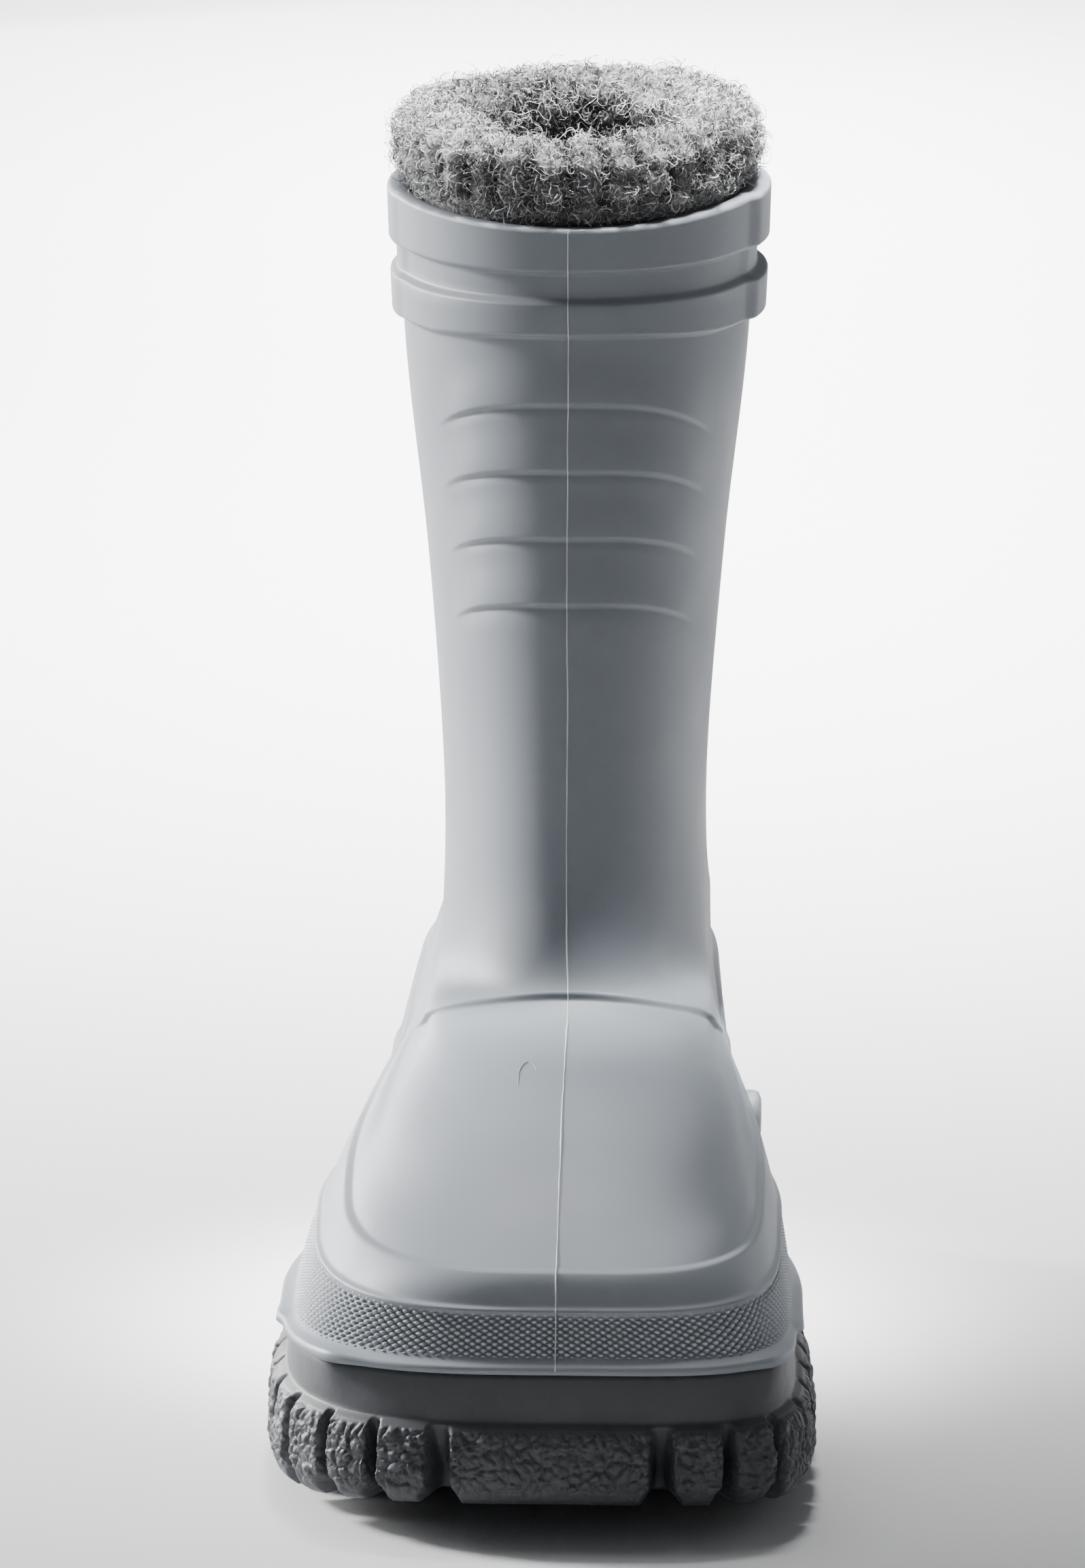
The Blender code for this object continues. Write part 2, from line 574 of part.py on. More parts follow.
def build_liner(form):
    lengths = inner_lengths(form)
    outer = [form.row(length, -WALL - LINER_GAP) for length in lengths]
    outer[0][:, 2] = joint_z(outer[0][:, 1]) + CLEARANCE
    rim = form.row(form.at("rim"))
    flat = form.normal(form.station(form.at("rim")))
    flat[:, 2] = 0.0
    flat /= np.linalg.norm(flat, axis=1, keepdims=True)
    rib = np.where(np.arange(COLUMNS) % 2 == 0, 0.5, -0.5) * RIB_DEPTH
    roll = []
    for section in ROLL_SECTION:
        part = dict(zip(ROLL_COLUMNS, section))
        loop = rim + flat * np.reshape(part["out"] + rib * part["rib"], (-1, 1))
        loop[:, 2] = rim[:, 2] + part["up"]
        roll.append(loop)
    inside = -WALL - LINER_GAP - LINER_WALL
    m = form.at
    shaft = [m("rim", -ROLL_END_DROP)] + between(m("flex4"), m("instep"), (0.0, 0.5, 1.0))
    foot = between(m("instep"), m("panel"), (0.3, 0.65, 1.0)) + [m("foxing"), m("base")]
    inner = [form.row(length, inside) for length in shaft + foot]
    inner[-1][:, 2] = joint_z(inner[-1][:, 1]) + CLEARANCE
    rows = outer + roll + inner
    return add_object("liner", np.concatenate(rows), loop_faces(len(rows), COLUMNS, True))


def centre(objects):
    """Moves every mesh so that the middle of the whole boot is over the origin, its sole at zero."""
    corners = np.array([v.co for o in objects for v in o.data.vertices])
    low, high = corners.min(axis=0), corners.max(axis=0)
    shift = np.array([(low[0] + high[0]) / 2, (low[1] + high[1]) / 2, low[2]])
    for obj in bpy.data.objects:
        for vertex in obj.data.vertices:
            vertex.co = tuple(np.array(vertex.co) - shift)
        obj.data.update()


def main():
    for obj in list(bpy.data.objects):
        bpy.data.objects.remove(obj)
    form = Upper(COLUMNS)
    centre([build_outsole(), build_upper(form), build_liner(form), build_insole()])


main()
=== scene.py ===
import math

import bpy
import numpy as np
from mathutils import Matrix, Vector


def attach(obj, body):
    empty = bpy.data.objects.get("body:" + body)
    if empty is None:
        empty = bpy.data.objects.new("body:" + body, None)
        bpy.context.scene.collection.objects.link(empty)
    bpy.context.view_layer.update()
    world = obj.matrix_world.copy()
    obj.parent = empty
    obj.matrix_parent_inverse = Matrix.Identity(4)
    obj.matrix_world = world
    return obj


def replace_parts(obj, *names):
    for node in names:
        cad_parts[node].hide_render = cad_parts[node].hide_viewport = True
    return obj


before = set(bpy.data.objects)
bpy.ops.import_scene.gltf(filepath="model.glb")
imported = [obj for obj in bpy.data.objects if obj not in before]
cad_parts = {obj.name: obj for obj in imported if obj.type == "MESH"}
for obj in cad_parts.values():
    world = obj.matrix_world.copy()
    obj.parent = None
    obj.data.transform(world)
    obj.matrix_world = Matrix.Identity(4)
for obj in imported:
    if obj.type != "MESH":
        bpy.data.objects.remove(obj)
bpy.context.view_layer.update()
mm = 0.001  # every size below is in millimetres
print("frame loaded")


# small curves and fields

def ease(x):  # 0 below 0 and 1 above 1, with a smooth s-curve between
    x = np.clip(x, 0.0, 1.0)
    return x * x * (3.0 - 2.0 * x)


def rise(distance, run):  # the s-curve centred on an edge
    return ease(distance / run + 0.5)


def hump(distance, width):  # bell curve
    return np.exp(-(distance / width) ** 2)


def unit(v):  # each vector divided by its length
    return v / np.maximum(np.linalg.norm(v, axis=-1, keepdims=True), 1e-12)


def lengthAlong(path):  # distance along a path from its first point
    return np.concatenate([[0.0], np.cumsum(np.linalg.norm(np.diff(path, axis=0), axis=1))])


def monotone(places, values, x):  # cubic through the values that never overshoots them, read at x
    x = np.asarray(x, float)
    values = [np.broadcast_to(np.asarray(v, float), x.shape) for v in values]
    steps = np.diff(places)
    rises = [(b - a) / h for a, b, h in zip(values, values[1:], steps)]
    slopes = [rises[0]]
    for a, b in zip(rises, rises[1:]):
        same = a * b > 0
        slopes.append(np.where(same, 2.0 * a * b / np.where(same, a + b, 1.0), 0.0))
    slopes.append(rises[-1])
    result = values[0] + 0.0 * x
    for k, h in enumerate(steps):
        s = np.clip((x - places[k]) / h, 0.0, 1.0)
        part = (values[k] * (1 + 2 * s) * (1 - s) ** 2 + values[k + 1] * s * s * (3 - 2 * s)
                + h * slopes[k] * s * (1 - s) ** 2 - h * slopes[k + 1] * s * s * (1 - s))
        result = np.where(x >= places[k], part, result)
    return result


def hashed(i, j, k, seed):  # repeatable number from 0 to 1 for each whole-number place
    n = (i.astype(np.uint64) * np.uint64(73856093)) ^ (j.astype(np.uint64) * np.uint64(19349663))
    n = n ^ (k.astype(np.uint64) * np.uint64(83492791)) ^ np.uint64(seed * 7919 + 13)
    n = (n ^ (n >> np.uint64(13))) * np.uint64(1274126177)
    n = (n ^ (n >> np.uint64(16))) * np.uint64(2246822519)
    n = n ^ (n >> np.uint64(15))
    return (n & np.uint64(0xFFFFFF)).astype(float) / 0xFFFFFF


def cloudy(points, size, seed=0):  # smooth random field from -1 to 1, its lumps about size across
    q = points / size
    cell = np.floor(q).astype(np.int64)
    f = ease(q - cell)
    total = np.zeros(points.shape[:-1])
    for corner in range(8):
        d = np.array([corner & 1, corner >> 1 & 1, corner >> 2 & 1])
        weight = np.prod(np.where(d, f, 1.0 - f), axis=-1)
        total = total + weight * hashed(*np.moveaxis(cell + d, -1, 0), seed)
    return total * 2.0 - 1.0


# distances to the two nearest of one loose point per cell, and the nearest one's own number
def pebbles(a, b, wrap, seed, free=0.8):
    ia, ib = np.floor(a).astype(np.int64), np.floor(b).astype(np.int64)
    best, second = np.full(a.shape, 9.0), np.full(a.shape, 9.0)
    own = np.zeros(a.shape)
    for da in (-1, 0, 1):
        for db in (-1, 0, 1):
            ca, cb = ia + da, ib + db
            key = np.mod(ca, wrap)
            flat = np.zeros_like(cb)
            distance = np.hypot(a - ca - 0.5 - free * (hashed(key, cb, flat, seed) - 0.5),
                                b - cb - 0.5 - free * (hashed(key, cb, flat, seed + 1) - 0.5))
            closer = distance < best
            own = np.where(closer, hashed(key, cb, flat, seed + 2), own)
            second = np.where(closer, best, np.minimum(second, distance))
            best = np.where(closer, distance, best)
    return best, second, own


# meshes

def gridQuads(rows, columns, closeRows=False):  # corners of the quads of a grid whose columns close round
    r = np.arange(rows if closeRows else rows - 1)[:, None]
    c = np.arange(columns)[None, :]
    up, on = (r + 1) % rows, (c + 1) % columns
    corners = (r * columns + c, r * columns + on, up * columns + on, up * columns + c)
    return np.stack(corners, -1).reshape(-1, 4)


def foldedTriangles(height):  # a grid's quads cut along the diagonal that lies lower
    quads = gridQuads(*height.shape)
    h = height.ravel()[quads]
    cut = (h[:, 0] + h[:, 2] < h[:, 1] + h[:, 3])[:, None]
    return np.concatenate([np.where(cut, quads[:, [0, 1, 2]], quads[:, [0, 1, 3]]),
                           np.where(cut, quads[:, [0, 2, 3]], quads[:, [1, 2, 3]])])


def rungQuads(first, columns):  # fills a loop that starts at the toe with rungs from side to side
    i = np.arange(1, columns // 2 - 1)
    quads = np.stack([i, i + 1, columns - i - 1, columns - i], -1) + first
    half = columns // 2
    ends = np.array([(0, 1, columns - 1), (half - 1, half, half + 1)]) + first
    return [quads, ends]


# a mesh from points in mm and arrays of face corners, with a grey or colour for each point where its finish
# reads one
def addPiece(name, points, faces, finish, tones=None, turn=True):
    points = np.asarray(points, float).reshape(-1, 3)
    if turn:  # a negative volume means that the faces point inwards
        volume = 0.0
        for f in faces:
            for k in range(1, f.shape[1] - 1):
                a, b, c = points[f[:, 0]], points[f[:, k]], points[f[:, k + 1]]
                volume += np.einsum("ij,ij->", a, np.cross(b, c))
        if volume < 0:
            faces = [f[:, ::-1] for f in faces]
    mesh = bpy.data.meshes.new(name)
    corners = np.concatenate([f.ravel() for f in faces]).astype(np.int32)
    counts = np.concatenate([np.full(len(f), f.shape[1]) for f in faces])
    mesh.vertices.add(len(points))
    mesh.vertices.foreach_set("co", (points * mm).astype(np.float32).ravel())
    mesh.loops.add(len(corners))
    mesh.loops.foreach_set("vertex_index", corners)
    mesh.polygons.add(len(counts))
    mesh.polygons.foreach_set("loop_start", (np.cumsum(counts) - counts).astype(np.int32))
    mesh.update(calc_edges=True)
    mesh.shade_smooth()
    if tones is not None:
        layer = mesh.color_attributes.new(name="tone", type="FLOAT_COLOR", domain="POINT")
        rgba = np.ones((len(points), 4), np.float32)
        rgba[:, :3] = np.asarray(tones).reshape(len(points), -1)
        layer.data.foreach_set("color", rgba.ravel())
    mesh.materials.append(finish)
    piece = bpy.data.objects.new(name, mesh)
    bpy.context.scene.collection.objects.link(piece)
    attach(piece, "root")
    print(name, "with", int(np.sum(counts - 2)), "triangles")
    return piece


def gridNormals(points):  # normals of a grid of points from its neighbours, with its columns closed round
    along = np.roll(points, -1, 1) - np.roll(points, 1, 1)
    return unit(np.cross(along, np.gradient(points, axis=0)))


# a closed section (across, up) carried along a path, with both ends closed
def carried(path, across, up, section):
    section = np.asarray(section, float)
    loops = path[:, None] + across[:, None] * section[..., :1] + up[:, None] * section[..., 1:2]
    rows, count = loops.shape[:2]
    caps = np.array([np.arange(count), np.arange(count)[::-1] + (rows - 1) * count])
    return loops.reshape(-1, 3), [gridQuads(rows, count), caps]


# finishes

def addNode(tree, kind, settings=None, **inputs):
    made = tree.nodes.new(kind)
    for key, value in (settings or {}).items():
        setattr(made, key, value)
    for key, value in inputs.items():
        socket = made.inputs[key.replace("_", " ")]
        if isinstance(value, bpy.types.NodeSocket):
            tree.links.new(value, socket)
        else:
            socket.default_value = value
    return made


def newFinish(name, **sockets):
    finish = bpy.data.materials.new(name)
    finish.use_nodes = True
    shader = finish.node_tree.nodes["Principled BSDF"]
    for key, value in sockets.items():
        shader.inputs[key.replace("_", " ")].default_value = value
    return finish, finish.node_tree, shader


def ramp(tree, factor, low, high, fromLow=0.0, fromHigh=1.0):  # a factor mapped to a range of numbers
    made = addNode(tree, "ShaderNodeMapRange", None, Value=factor)
    for key, value in (("From Min", fromLow), ("From Max", fromHigh), ("To Min", low), ("To Max", high)):
        made.inputs[key].default_value = value
    return made.outputs["Result"]


def mixed(tree, factor, a, b):  # two colours mixed by a factor
    made = addNode(tree, "ShaderNodeMix", {"data_type": "RGBA"})
    tree.links.new(factor, made.inputs["Factor"])
    for place, colour in ((6, a), (7, b)):
        if isinstance(colour, bpy.types.NodeSocket):
            tree.links.new(colour, made.inputs[place])
        else:
            made.inputs[place].default_value = (*colour, 1.0)
    return made.outputs[2]


def noise(tree, place, scale, detail):  # smooth random field over a piece
    return addNode(tree, "ShaderNodeTexNoise", None, Vector=place, Scale=scale, Detail=detail).outputs["Fac"]


def ownTone(tree):  # the tone stored at the piece's points
    return addNode(tree, "ShaderNodeVertexColor", {"layer_name": "tone"}).outputs["Color"]


# relief of a depth in mm, on top of the relief before it
def bumped(tree, height, strength, depth, before=None, invert=False):
    made = addNode(tree, "ShaderNodeBump", {"invert": invert}, Height=height, Strength=strength,
                   Distance=depth * mm)
    if before is not None:
        tree.links.new(before, made.inputs["Normal"])
    return made.outputs["Normal"]


middle = (0.3, 0.7)  # most of a noise lies between these


# satin rubber: two near tones in clouds, uneven gloss, fine grain and a soft unevenness
def rubberFinish(name, s):
    finish, tree, shader = newFinish(name, Metallic=0.0, Coat_Weight=s["coat"], Coat_Roughness=s["coatRough"])
    place = addNode(tree, "ShaderNodeTexCoord").outputs["Object"]
    clouds = noise(tree, place, s["cloudScale"], 4.0)
    fine = noise(tree, place, s["grainScale"], 2.0)
    blur = noise(tree, place, s["glossScale"], 3.0)
    colour = mixed(tree, ramp(tree, clouds, 0.0, 1.0, *middle), s["dark"], s["light"])
    # on the knurl this paler colour is partly real wear and partly a painted highlight on the tips
    if "worn" in s:  # paler where the piece's own tone is white
        colour = mixed(tree, ownTone(tree), colour, s["worn"])
    tree.links.new(colour, shader.inputs["Base Color"])
    tree.links.new(ramp(tree, blur, *s["rough"], *middle), shader.inputs["Roughness"])
    normal = bumped(tree, blur, s["waveBump"], s["waveDepth"])
    normal = bumped(tree, fine, s["grainBump"], s["grainDepth"], normal)
    if "rockScale" in s:  # crowded pebbles, bent out of line, where the piece's own tone is white
        size, push = s["rockBend"]
        bent = addNode(tree, "ShaderNodeTexNoise", None, Vector=place, Scale=size * s["rockScale"])
        pushed = addNode(tree, "ShaderNodeVectorMath", {"operation": "MULTIPLY_ADD"})
        tree.links.new(bent.outputs["Color"], pushed.inputs[0])
        pushed.inputs[1].default_value = (push / s["rockScale"],) * 3
        tree.links.new(place, pushed.inputs[2])
        cells = addNode(tree, "ShaderNodeTexVoronoi", {"feature": "SMOOTH_F1"},
                        Vector=pushed.outputs["Vector"], Scale=s["rockScale"], Smoothness=s["rockSoft"])
        normal = bumped(tree, cells.outputs["Distance"], ownTone(tree), s["rockDepth"], normal, True)
    tree.links.new(normal, shader.inputs["Normal"])
    return finish


def woolFinish(name, s):  # soft fibre: the piece's own tone broken up by a fine mottle, with a sheen
    finish, tree, shader = newFinish(name, Metallic=0.0, Roughness=s["rough"], Sheen_Weight=s["sheen"],
                                     Sheen_Roughness=s["sheenRough"], Specular_IOR_Level=s["specular"])
    place = addNode(tree, "ShaderNodeTexCoord").outputs["Object"]
    fuzz = noise(tree, place, s["fuzzScale"], 3.0)
    mottle = ramp(tree, fuzz, *s["fuzzTone"], *s["fuzzRange"])
    shaded = addNode(tree, "ShaderNodeVectorMath", {"operation": "SCALE"}, Scale=mottle)
    tree.links.new(ownTone(tree), shaded.inputs[0])
    tree.links.new(shaded.outputs["Vector"], shader.inputs["Base Color"])
    tree.links.new(bumped(tree, fuzz, s["fuzzBump"], s["fuzzDepth"]), shader.inputs["Normal"])
    return finish


upperLook = dict(dark=(0.180, 0.196, 0.219), light=(0.206, 0.223, 0.247), coat=0.06, coatRough=0.42,
                 rough=(0.48, 0.58), cloudScale=22.0, glossScale=55.0, grainScale=2600.0,
                 waveBump=0.10, waveDepth=1.0, grainBump=0.10, grainDepth=0.08)
# the paler colour on the knurl's tips is partly wear and partly a painted highlight
knurlLook = dict(upperLook, worn=(0.60, 0.63, 0.66))
# the mould line's pale colour is partly paler thin rubber and partly a painted highlight
flashLook = dict(upperLook, dark=(0.56, 0.58, 0.60), light=(0.66, 0.68, 0.70), rough=(0.30, 0.42))
soleLook = dict(dark=(0.033, 0.036, 0.041), light=(0.044, 0.047, 0.053), coat=0.05, coatRough=0.45,
                rough=(0.50, 0.64), cloudScale=30.0, glossScale=70.0, grainScale=1500.0,
                waveBump=0.10, waveDepth=0.8, grainBump=0.30, grainDepth=0.15,
                rockScale=820.0, rockDepth=0.4, rockBend=(0.6, 0.7), rockSoft=0.35)
woolLook = dict(rough=0.85, sheen=0.5, sheenRough=0.5, specular=0.2, fuzzScale=1500.0, fuzzTone=(0.50, 1.20),
                fuzzRange=(0.32, 0.68), fuzzBump=0.7, fuzzDepth=0.6)
feltedLook = dict(woolLook, sheen=0.10, specular=0.1)
feltLook = dict(dark=(0.20, 0.197, 0.19), light=(0.30, 0.296, 0.288), coat=0.0, coatRough=0.5,
                rough=(0.9, 0.98), cloudScale=60.0, glossScale=160.0, grainScale=1400.0,
                waveBump=0.2, waveDepth=0.8, grainBump=0.6, grainDepth=0.4)
upperFinish = rubberFinish("satinRubber", upperLook)
knurlFinish = rubberFinish("wornRubber", knurlLook)
flashFinish = rubberFinish("mouldFlashAndHighlight", flashLook)
soleFinish = rubberFinish("soleRubber", soleLook)
woolFinished = woolFinish("greyWool", woolLook)
feltedFinish = woolFinish("feltedWool", feltedLook)
feltFinish = rubberFinish("insoleFelt", feltLook)
print("finishes made")


# the plain form of the upper: closed rings from its bottom edge to the rim

ringColumns = ("station", "frontY", "frontZ", "quarterZ", "halfZ", "backZ", "backY", "lateral", "medial",
               "frontX", "backX", "toeRound", "toeLateral", "toeMedial", "heelRound", "heelPower",
               "waist", "heel")
shaft = (0.5, 2.05, 2.05, 0.5, 2.05, 1.0, 1.0)  # the last seven values of the upper rings
rings = {
    "base": (0, -104.2, 30.0, 28.8, 28.8, 28.8, 103.5, 45.2, 38.8,
             4.0, 1.0, 0.262, 3.45, 5.0, 0.22, 2.3, 0.792, 0.764),
    "foxing": (10, -101.0, 39.8, 42.0, 42.3, 42.8, 102.0, 41.3, 37.1,
               4.0, -0.2, 0.300, 3.7, 4.7, 0.22, 2.3, 0.796, 0.765),
    "panel": (17, -100.0, 45.5, 47.8, 62.0, 74.0, 100.5, 36.7, 33.7,
              4.0, 2.3, 0.262, 3.0, 4.2, 0.25, 2.2, 0.765, 0.73),
    "toe": (25, -90.0, 48.8, 52.0, 64.4, 76.0, 100.3, 34.5, 32.2,
            3.9, 2.2, 0.255, 2.8, 3.7, 0.26, 2.2, 0.78, 0.75),
    "vamp": (48, -69.0, 58.6, 58.8, 68.4, 79.0, 100.0, 30.2, 29.4,
             3.7, 2.2, 0.24, 2.4, 2.7, 0.28, 2.2, 0.84, 0.82),
    "rise": (78, -40.0, 66.8, 67.0, 73.6, 82.0, 99.4, 24.9, 24.9,
             3.4, 2.3, 0.24, 2.2, 2.2, 0.30, 2.15, 0.98, 0.97),
    "instep": (106, -14.0, 73.0, 74.6, 79.5, 85.5, 98.6, 24.1, 24.1,
               3.1, 2.5, 0.36, 2.15, 2.15, 0.36, 2.1, 0.99, 0.98),
    "ankle": (129, -8.6, 95.0, 95.0, 95.0, 96.0, 96.6, 23.4, 23.4,
              2.7, 2.7, 0.44, 2.1, 2.1, 0.44, 2.1, 1.0, 1.0),
    "flex4": (176, -7.0, 141.9, 141.9, 141.9, 141.9, 91.8, 26.4, 26.4, 2.7, 2.7, *shaft),
    "flex1": (211, -6.2, 177.4, 176.6, 176.2, 176.2, 89.4, 30.2, 30.2, 2.8, 2.8, *shaft),
    "cuff": (223, -6.0, 189.4, 186.5, 186.0, 186.0, 89.0, 31.0, 31.0, 2.8, 2.8, *shaft),
    "groove": (229, -6.0, 195.7, 196.4, 196.6, 196.6, 88.8, 31.4, 31.4, 2.8, 2.8, *shaft),
    "top": (234, -6.0, 200.7, 199.8, 199.6, 199.6, 88.7, 31.6, 31.6, 2.8, 2.8, *shaft),
    "rim": (242, -6.0, 208.6, 209.6, 210.0, 210.0, 88.6, 31.9, 31.9, 2.8, 2.8, *shaft),
}
formShape = dict(stations=480, softening=4.0, waistY=20.0, waistRun=0.12, heightAt=(0.0, 0.2, 0.5, 1.0),
                 uStep=0.002)
jointShape = dict(z=28.8, toeRise=1.2, riseY=-66.0, riseRun=40.0, clearance=0.3)


# plan of a foot: rounded toe and heel of given squareness on a body that narrows at the waist
def outline(u, c):
    u = np.mod(u, 1.0)
    side = np.where(u < 0.5, 1.0, -1.0)
    t = (1.0 - np.cos(2.0 * np.pi * u)) / 2.0
    power = np.where(side > 0, c["toeMedial"], c["toeLateral"])
    toe = (1.0 - (1.0 - np.clip(t / c["toeRound"], 0, 1)) ** power) ** (1.0 / power)
    power = c["heelPower"]
    heel = (1.0 - (1.0 - np.clip((1.0 - t) / c["heelRound"], 0, 1)) ** power) ** (1.0 / power)
    waistAt = (formShape["waistY"] - c["frontY"]) / (c["backY"] - c["frontY"])
    narrows = np.minimum(c["toeRound"], waistAt - formShape["waistRun"])
    toWaist = ease((t - narrows) / (waistAt - narrows))
    toHeel = ease((t - waistAt) / (1.0 - c["heelRound"] - waistAt))
    body = 1.0 + (c["waist"] - 1.0) * toWaist + (c["heel"] - c["waist"]) * toHeel
    half = np.where(side > 0, c["medial"], c["lateral"]) * body * toe * heel
    x = c["backX"] + (c["frontX"] - c["backX"]) * (1.0 - t) + side * half
    y = c["frontY"] + (c["backY"] - c["frontY"]) * t
    return x, y, np.broadcast_to(t, x.shape), side


def softened(points, width):  # each meridian averaged along itself by a bell, its ends carried on straight
    reach = int(3 * width)
    low = 2.0 * points[:, :1] - points[:, reach:0:-1]
    high = 2.0 * points[:, -1:] - points[:, -2:-reach - 2:-1]
    longer = np.concatenate([low, points, high], 1)
    weights = np.exp(-(np.arange(-reach, reach + 1) / width) ** 2 / 2.0)
    weights /= weights.sum()
    return sum(w * longer[:, k:k + points.shape[1]] for k, w in enumerate(weights))


# the plain upper: the outline of each ring at its height, ring values carried smoothly upwards
def skinPoints(u):
    table = np.array(list(rings.values()))
    station = np.linspace(0.0, table[-1, 0], formShape["stations"])
    c = {name: monotone(table[:, 0], table[:, k], station) for k, name in enumerate(ringColumns)}
    x, y, t, _ = outline(u[:, None], c)
    z = monotone(formShape["heightAt"], (c["frontZ"], c["quarterZ"], c["halfZ"], c["backZ"]), t)
    width = formShape["softening"] * (formShape["stations"] - 1) / table[-1, 0]
    return softened(np.stack([x, y, z], -1), width)


def toeWeighted(columns, power=1.7):  # meridians from 0 to 1, closer together towards the toe
    share = np.arange(columns // 2) / (columns // 2)
    return np.concatenate([0.5 * share ** power, 1.0 - 0.5 * (1.0 - share) ** power])


# meridians of the plain upper: place from front to back, side, points, normals and lengths
def skinGrid(u):
    points = skinPoints(u)
    around = skinPoints(u + formShape["uStep"]) - skinPoints(u - formShape["uStep"])
    normal = unit(np.cross(around, np.gradient(points, axis=1)))
    steps = np.linalg.norm(np.diff(points, axis=1), axis=2)
    length = np.concatenate([np.zeros((len(u), 1)), np.cumsum(steps, axis=1)], axis=1)
    return dict(t=(1.0 - np.cos(2.0 * np.pi * u)) / 2.0, side=np.where(np.mod(u, 1.0) < 0.5, 1.0, -1.0),
                points=points, normal=normal, length=length)


def lineAt(form, ring, offset=0.0):  # length up each meridian at a ring or station, plus an offset
    station = rings[ring][0] if ring in rings else ring
    place = station / rings["rim"][0] * (formShape["stations"] - 1)
    k = min(int(place), formShape["stations"] - 2)
    return form["length"][:, k] * (k + 1 - place) + form["length"][:, k + 1] * (place - k) + offset


def sample(form, lengths):  # points and normals at rows of lengths up the meridians
    table = form["length"]
    shift = np.arange(len(table))[:, None] * 1000.0
    wanted = np.clip(lengths.T, 0.0, table[:, -1:])
    flat = (table + shift).ravel()
    first = np.repeat(np.arange(len(table)) * table.shape[1], wanted.shape[1])
    k = np.clip(np.searchsorted(flat, (wanted + shift).ravel()) - 1, first, first + table.shape[1] - 2)
    f = ((wanted + shift).ravel() - flat[k]) / (flat[k + 1] - flat[k])
    found = []
    for key in ("points", "normal"):
        values = form[key].reshape(-1, 3)
        mix = values[k] * (1.0 - f[:, None]) + values[k + 1] * f[:, None]
        found.append(mix.reshape(*wanted.shape, 3).transpose(1, 0, 2))
    return found[0], unit(found[1])


def jointZ(y):  # where sole and upper meet: level, a little higher round the toe
    return jointShape["z"] + jointShape["toeRise"] * ease((jointShape["riseY"] - y) / jointShape["riseRun"])


# raised details of the upper

upperShape = dict(
    columns=450, wall=1.8, overlay=1.0, overlayWall=2.2,
    flangeFoot=0.5, flangeRun=2.1, flangeBend=1.7, flangeFlash=0.15, flashWidth=0.3,
    lateralLip=((-104.5, 1.1), (-100.0, 1.5), (-95.5, 3.3), (-91.0, 2.6), (-84.0, 2.1), (-73.0, 1.8),
                (-68.0, 2.9), (-60.0, 2.4), (-20.0, 2.4), (40.0, 1.3)),
    medialLip=((-104.5, 1.1), (-100.5, 1.6), (-97.0, 3.1), (-92.0, 2.4), (-84.0, 1.4), (-76.0, 1.0),
               (-71.5, 2.2), (-60.0, 2.0), (-20.0, 2.0), (40.0, 1.1)),
    bead=0.7, beadWidth=0.6, knurlRecess=0.5, recessRun=0.8, recessTop=1.2,
    instepStep=0.9, instepFade=22.0, instepY=-14.0, instepZ=72.4, instepFall=0.80, instepRoom=4.5,
    instepWall=1.2, instepEnd=0.22, instepEndRun=0.26,
    flexRidges=4, flexStep=0.75, flexFade=9.0, flexDroop=4.4, flexReach=0.15, flexPower=1.35, flexWall=0.6,
    flexEnd=0.07, flexMedial=1.5, flexEndRun=0.13, flexCrease=0.22, creaseBelow=0.7, creaseWidth=0.5,
    bandFront=1.5, bandSide=2.8, bandLateral=2.0, bandStepAt=0.30, bandStepRun=0.05, bandWall=1.0,
    grooveSide=0.7, rimRound=0.9, uneven=0.10, unevenSize=28.0)


def lipWidth(y, side):  # narrow across the toe, out at its corners, with a small tip behind each corner
    tables = [np.array(upperShape[key]) for key in ("lateralLip", "medialLip")]
    lateral, medial = [monotone(table[:, 0], table[:, 1], y) for table in tables]
    return np.where(side > 0, medial, lateral)


def instepLine(form):  # length where each meridian meets a plane that falls towards the heel
    s = upperShape
    above = form["points"][..., 2] - s["instepZ"] + s["instepFall"] * (form["points"][..., 1] - s["instepY"])
    first = np.argmax(above > 0, axis=1)
    rows = np.arange(len(first))
    low, high = above[rows, first - 1], above[rows, first]
    a, b = form["length"][rows, first - 1], form["length"][rows, first]
    meets = a + (b - a) * low / (low - high)
    return np.maximum(meets, lineAt(form, "panel", s["overlayWall"] + s["instepRoom"]))


def flexLine(form, k):  # one flex ridge, drooping away from the middle of the shaft
    s = upperShape
    low, high = rings["flex4"][0], rings["flex1"][0]
    middle = lineAt(form, low + (high - low) * k / (s["flexRidges"] - 1))
    return middle - s["flexDroop"] * np.clip(form["t"] / s["flexReach"], 0.0, 1.8) ** s["flexPower"]


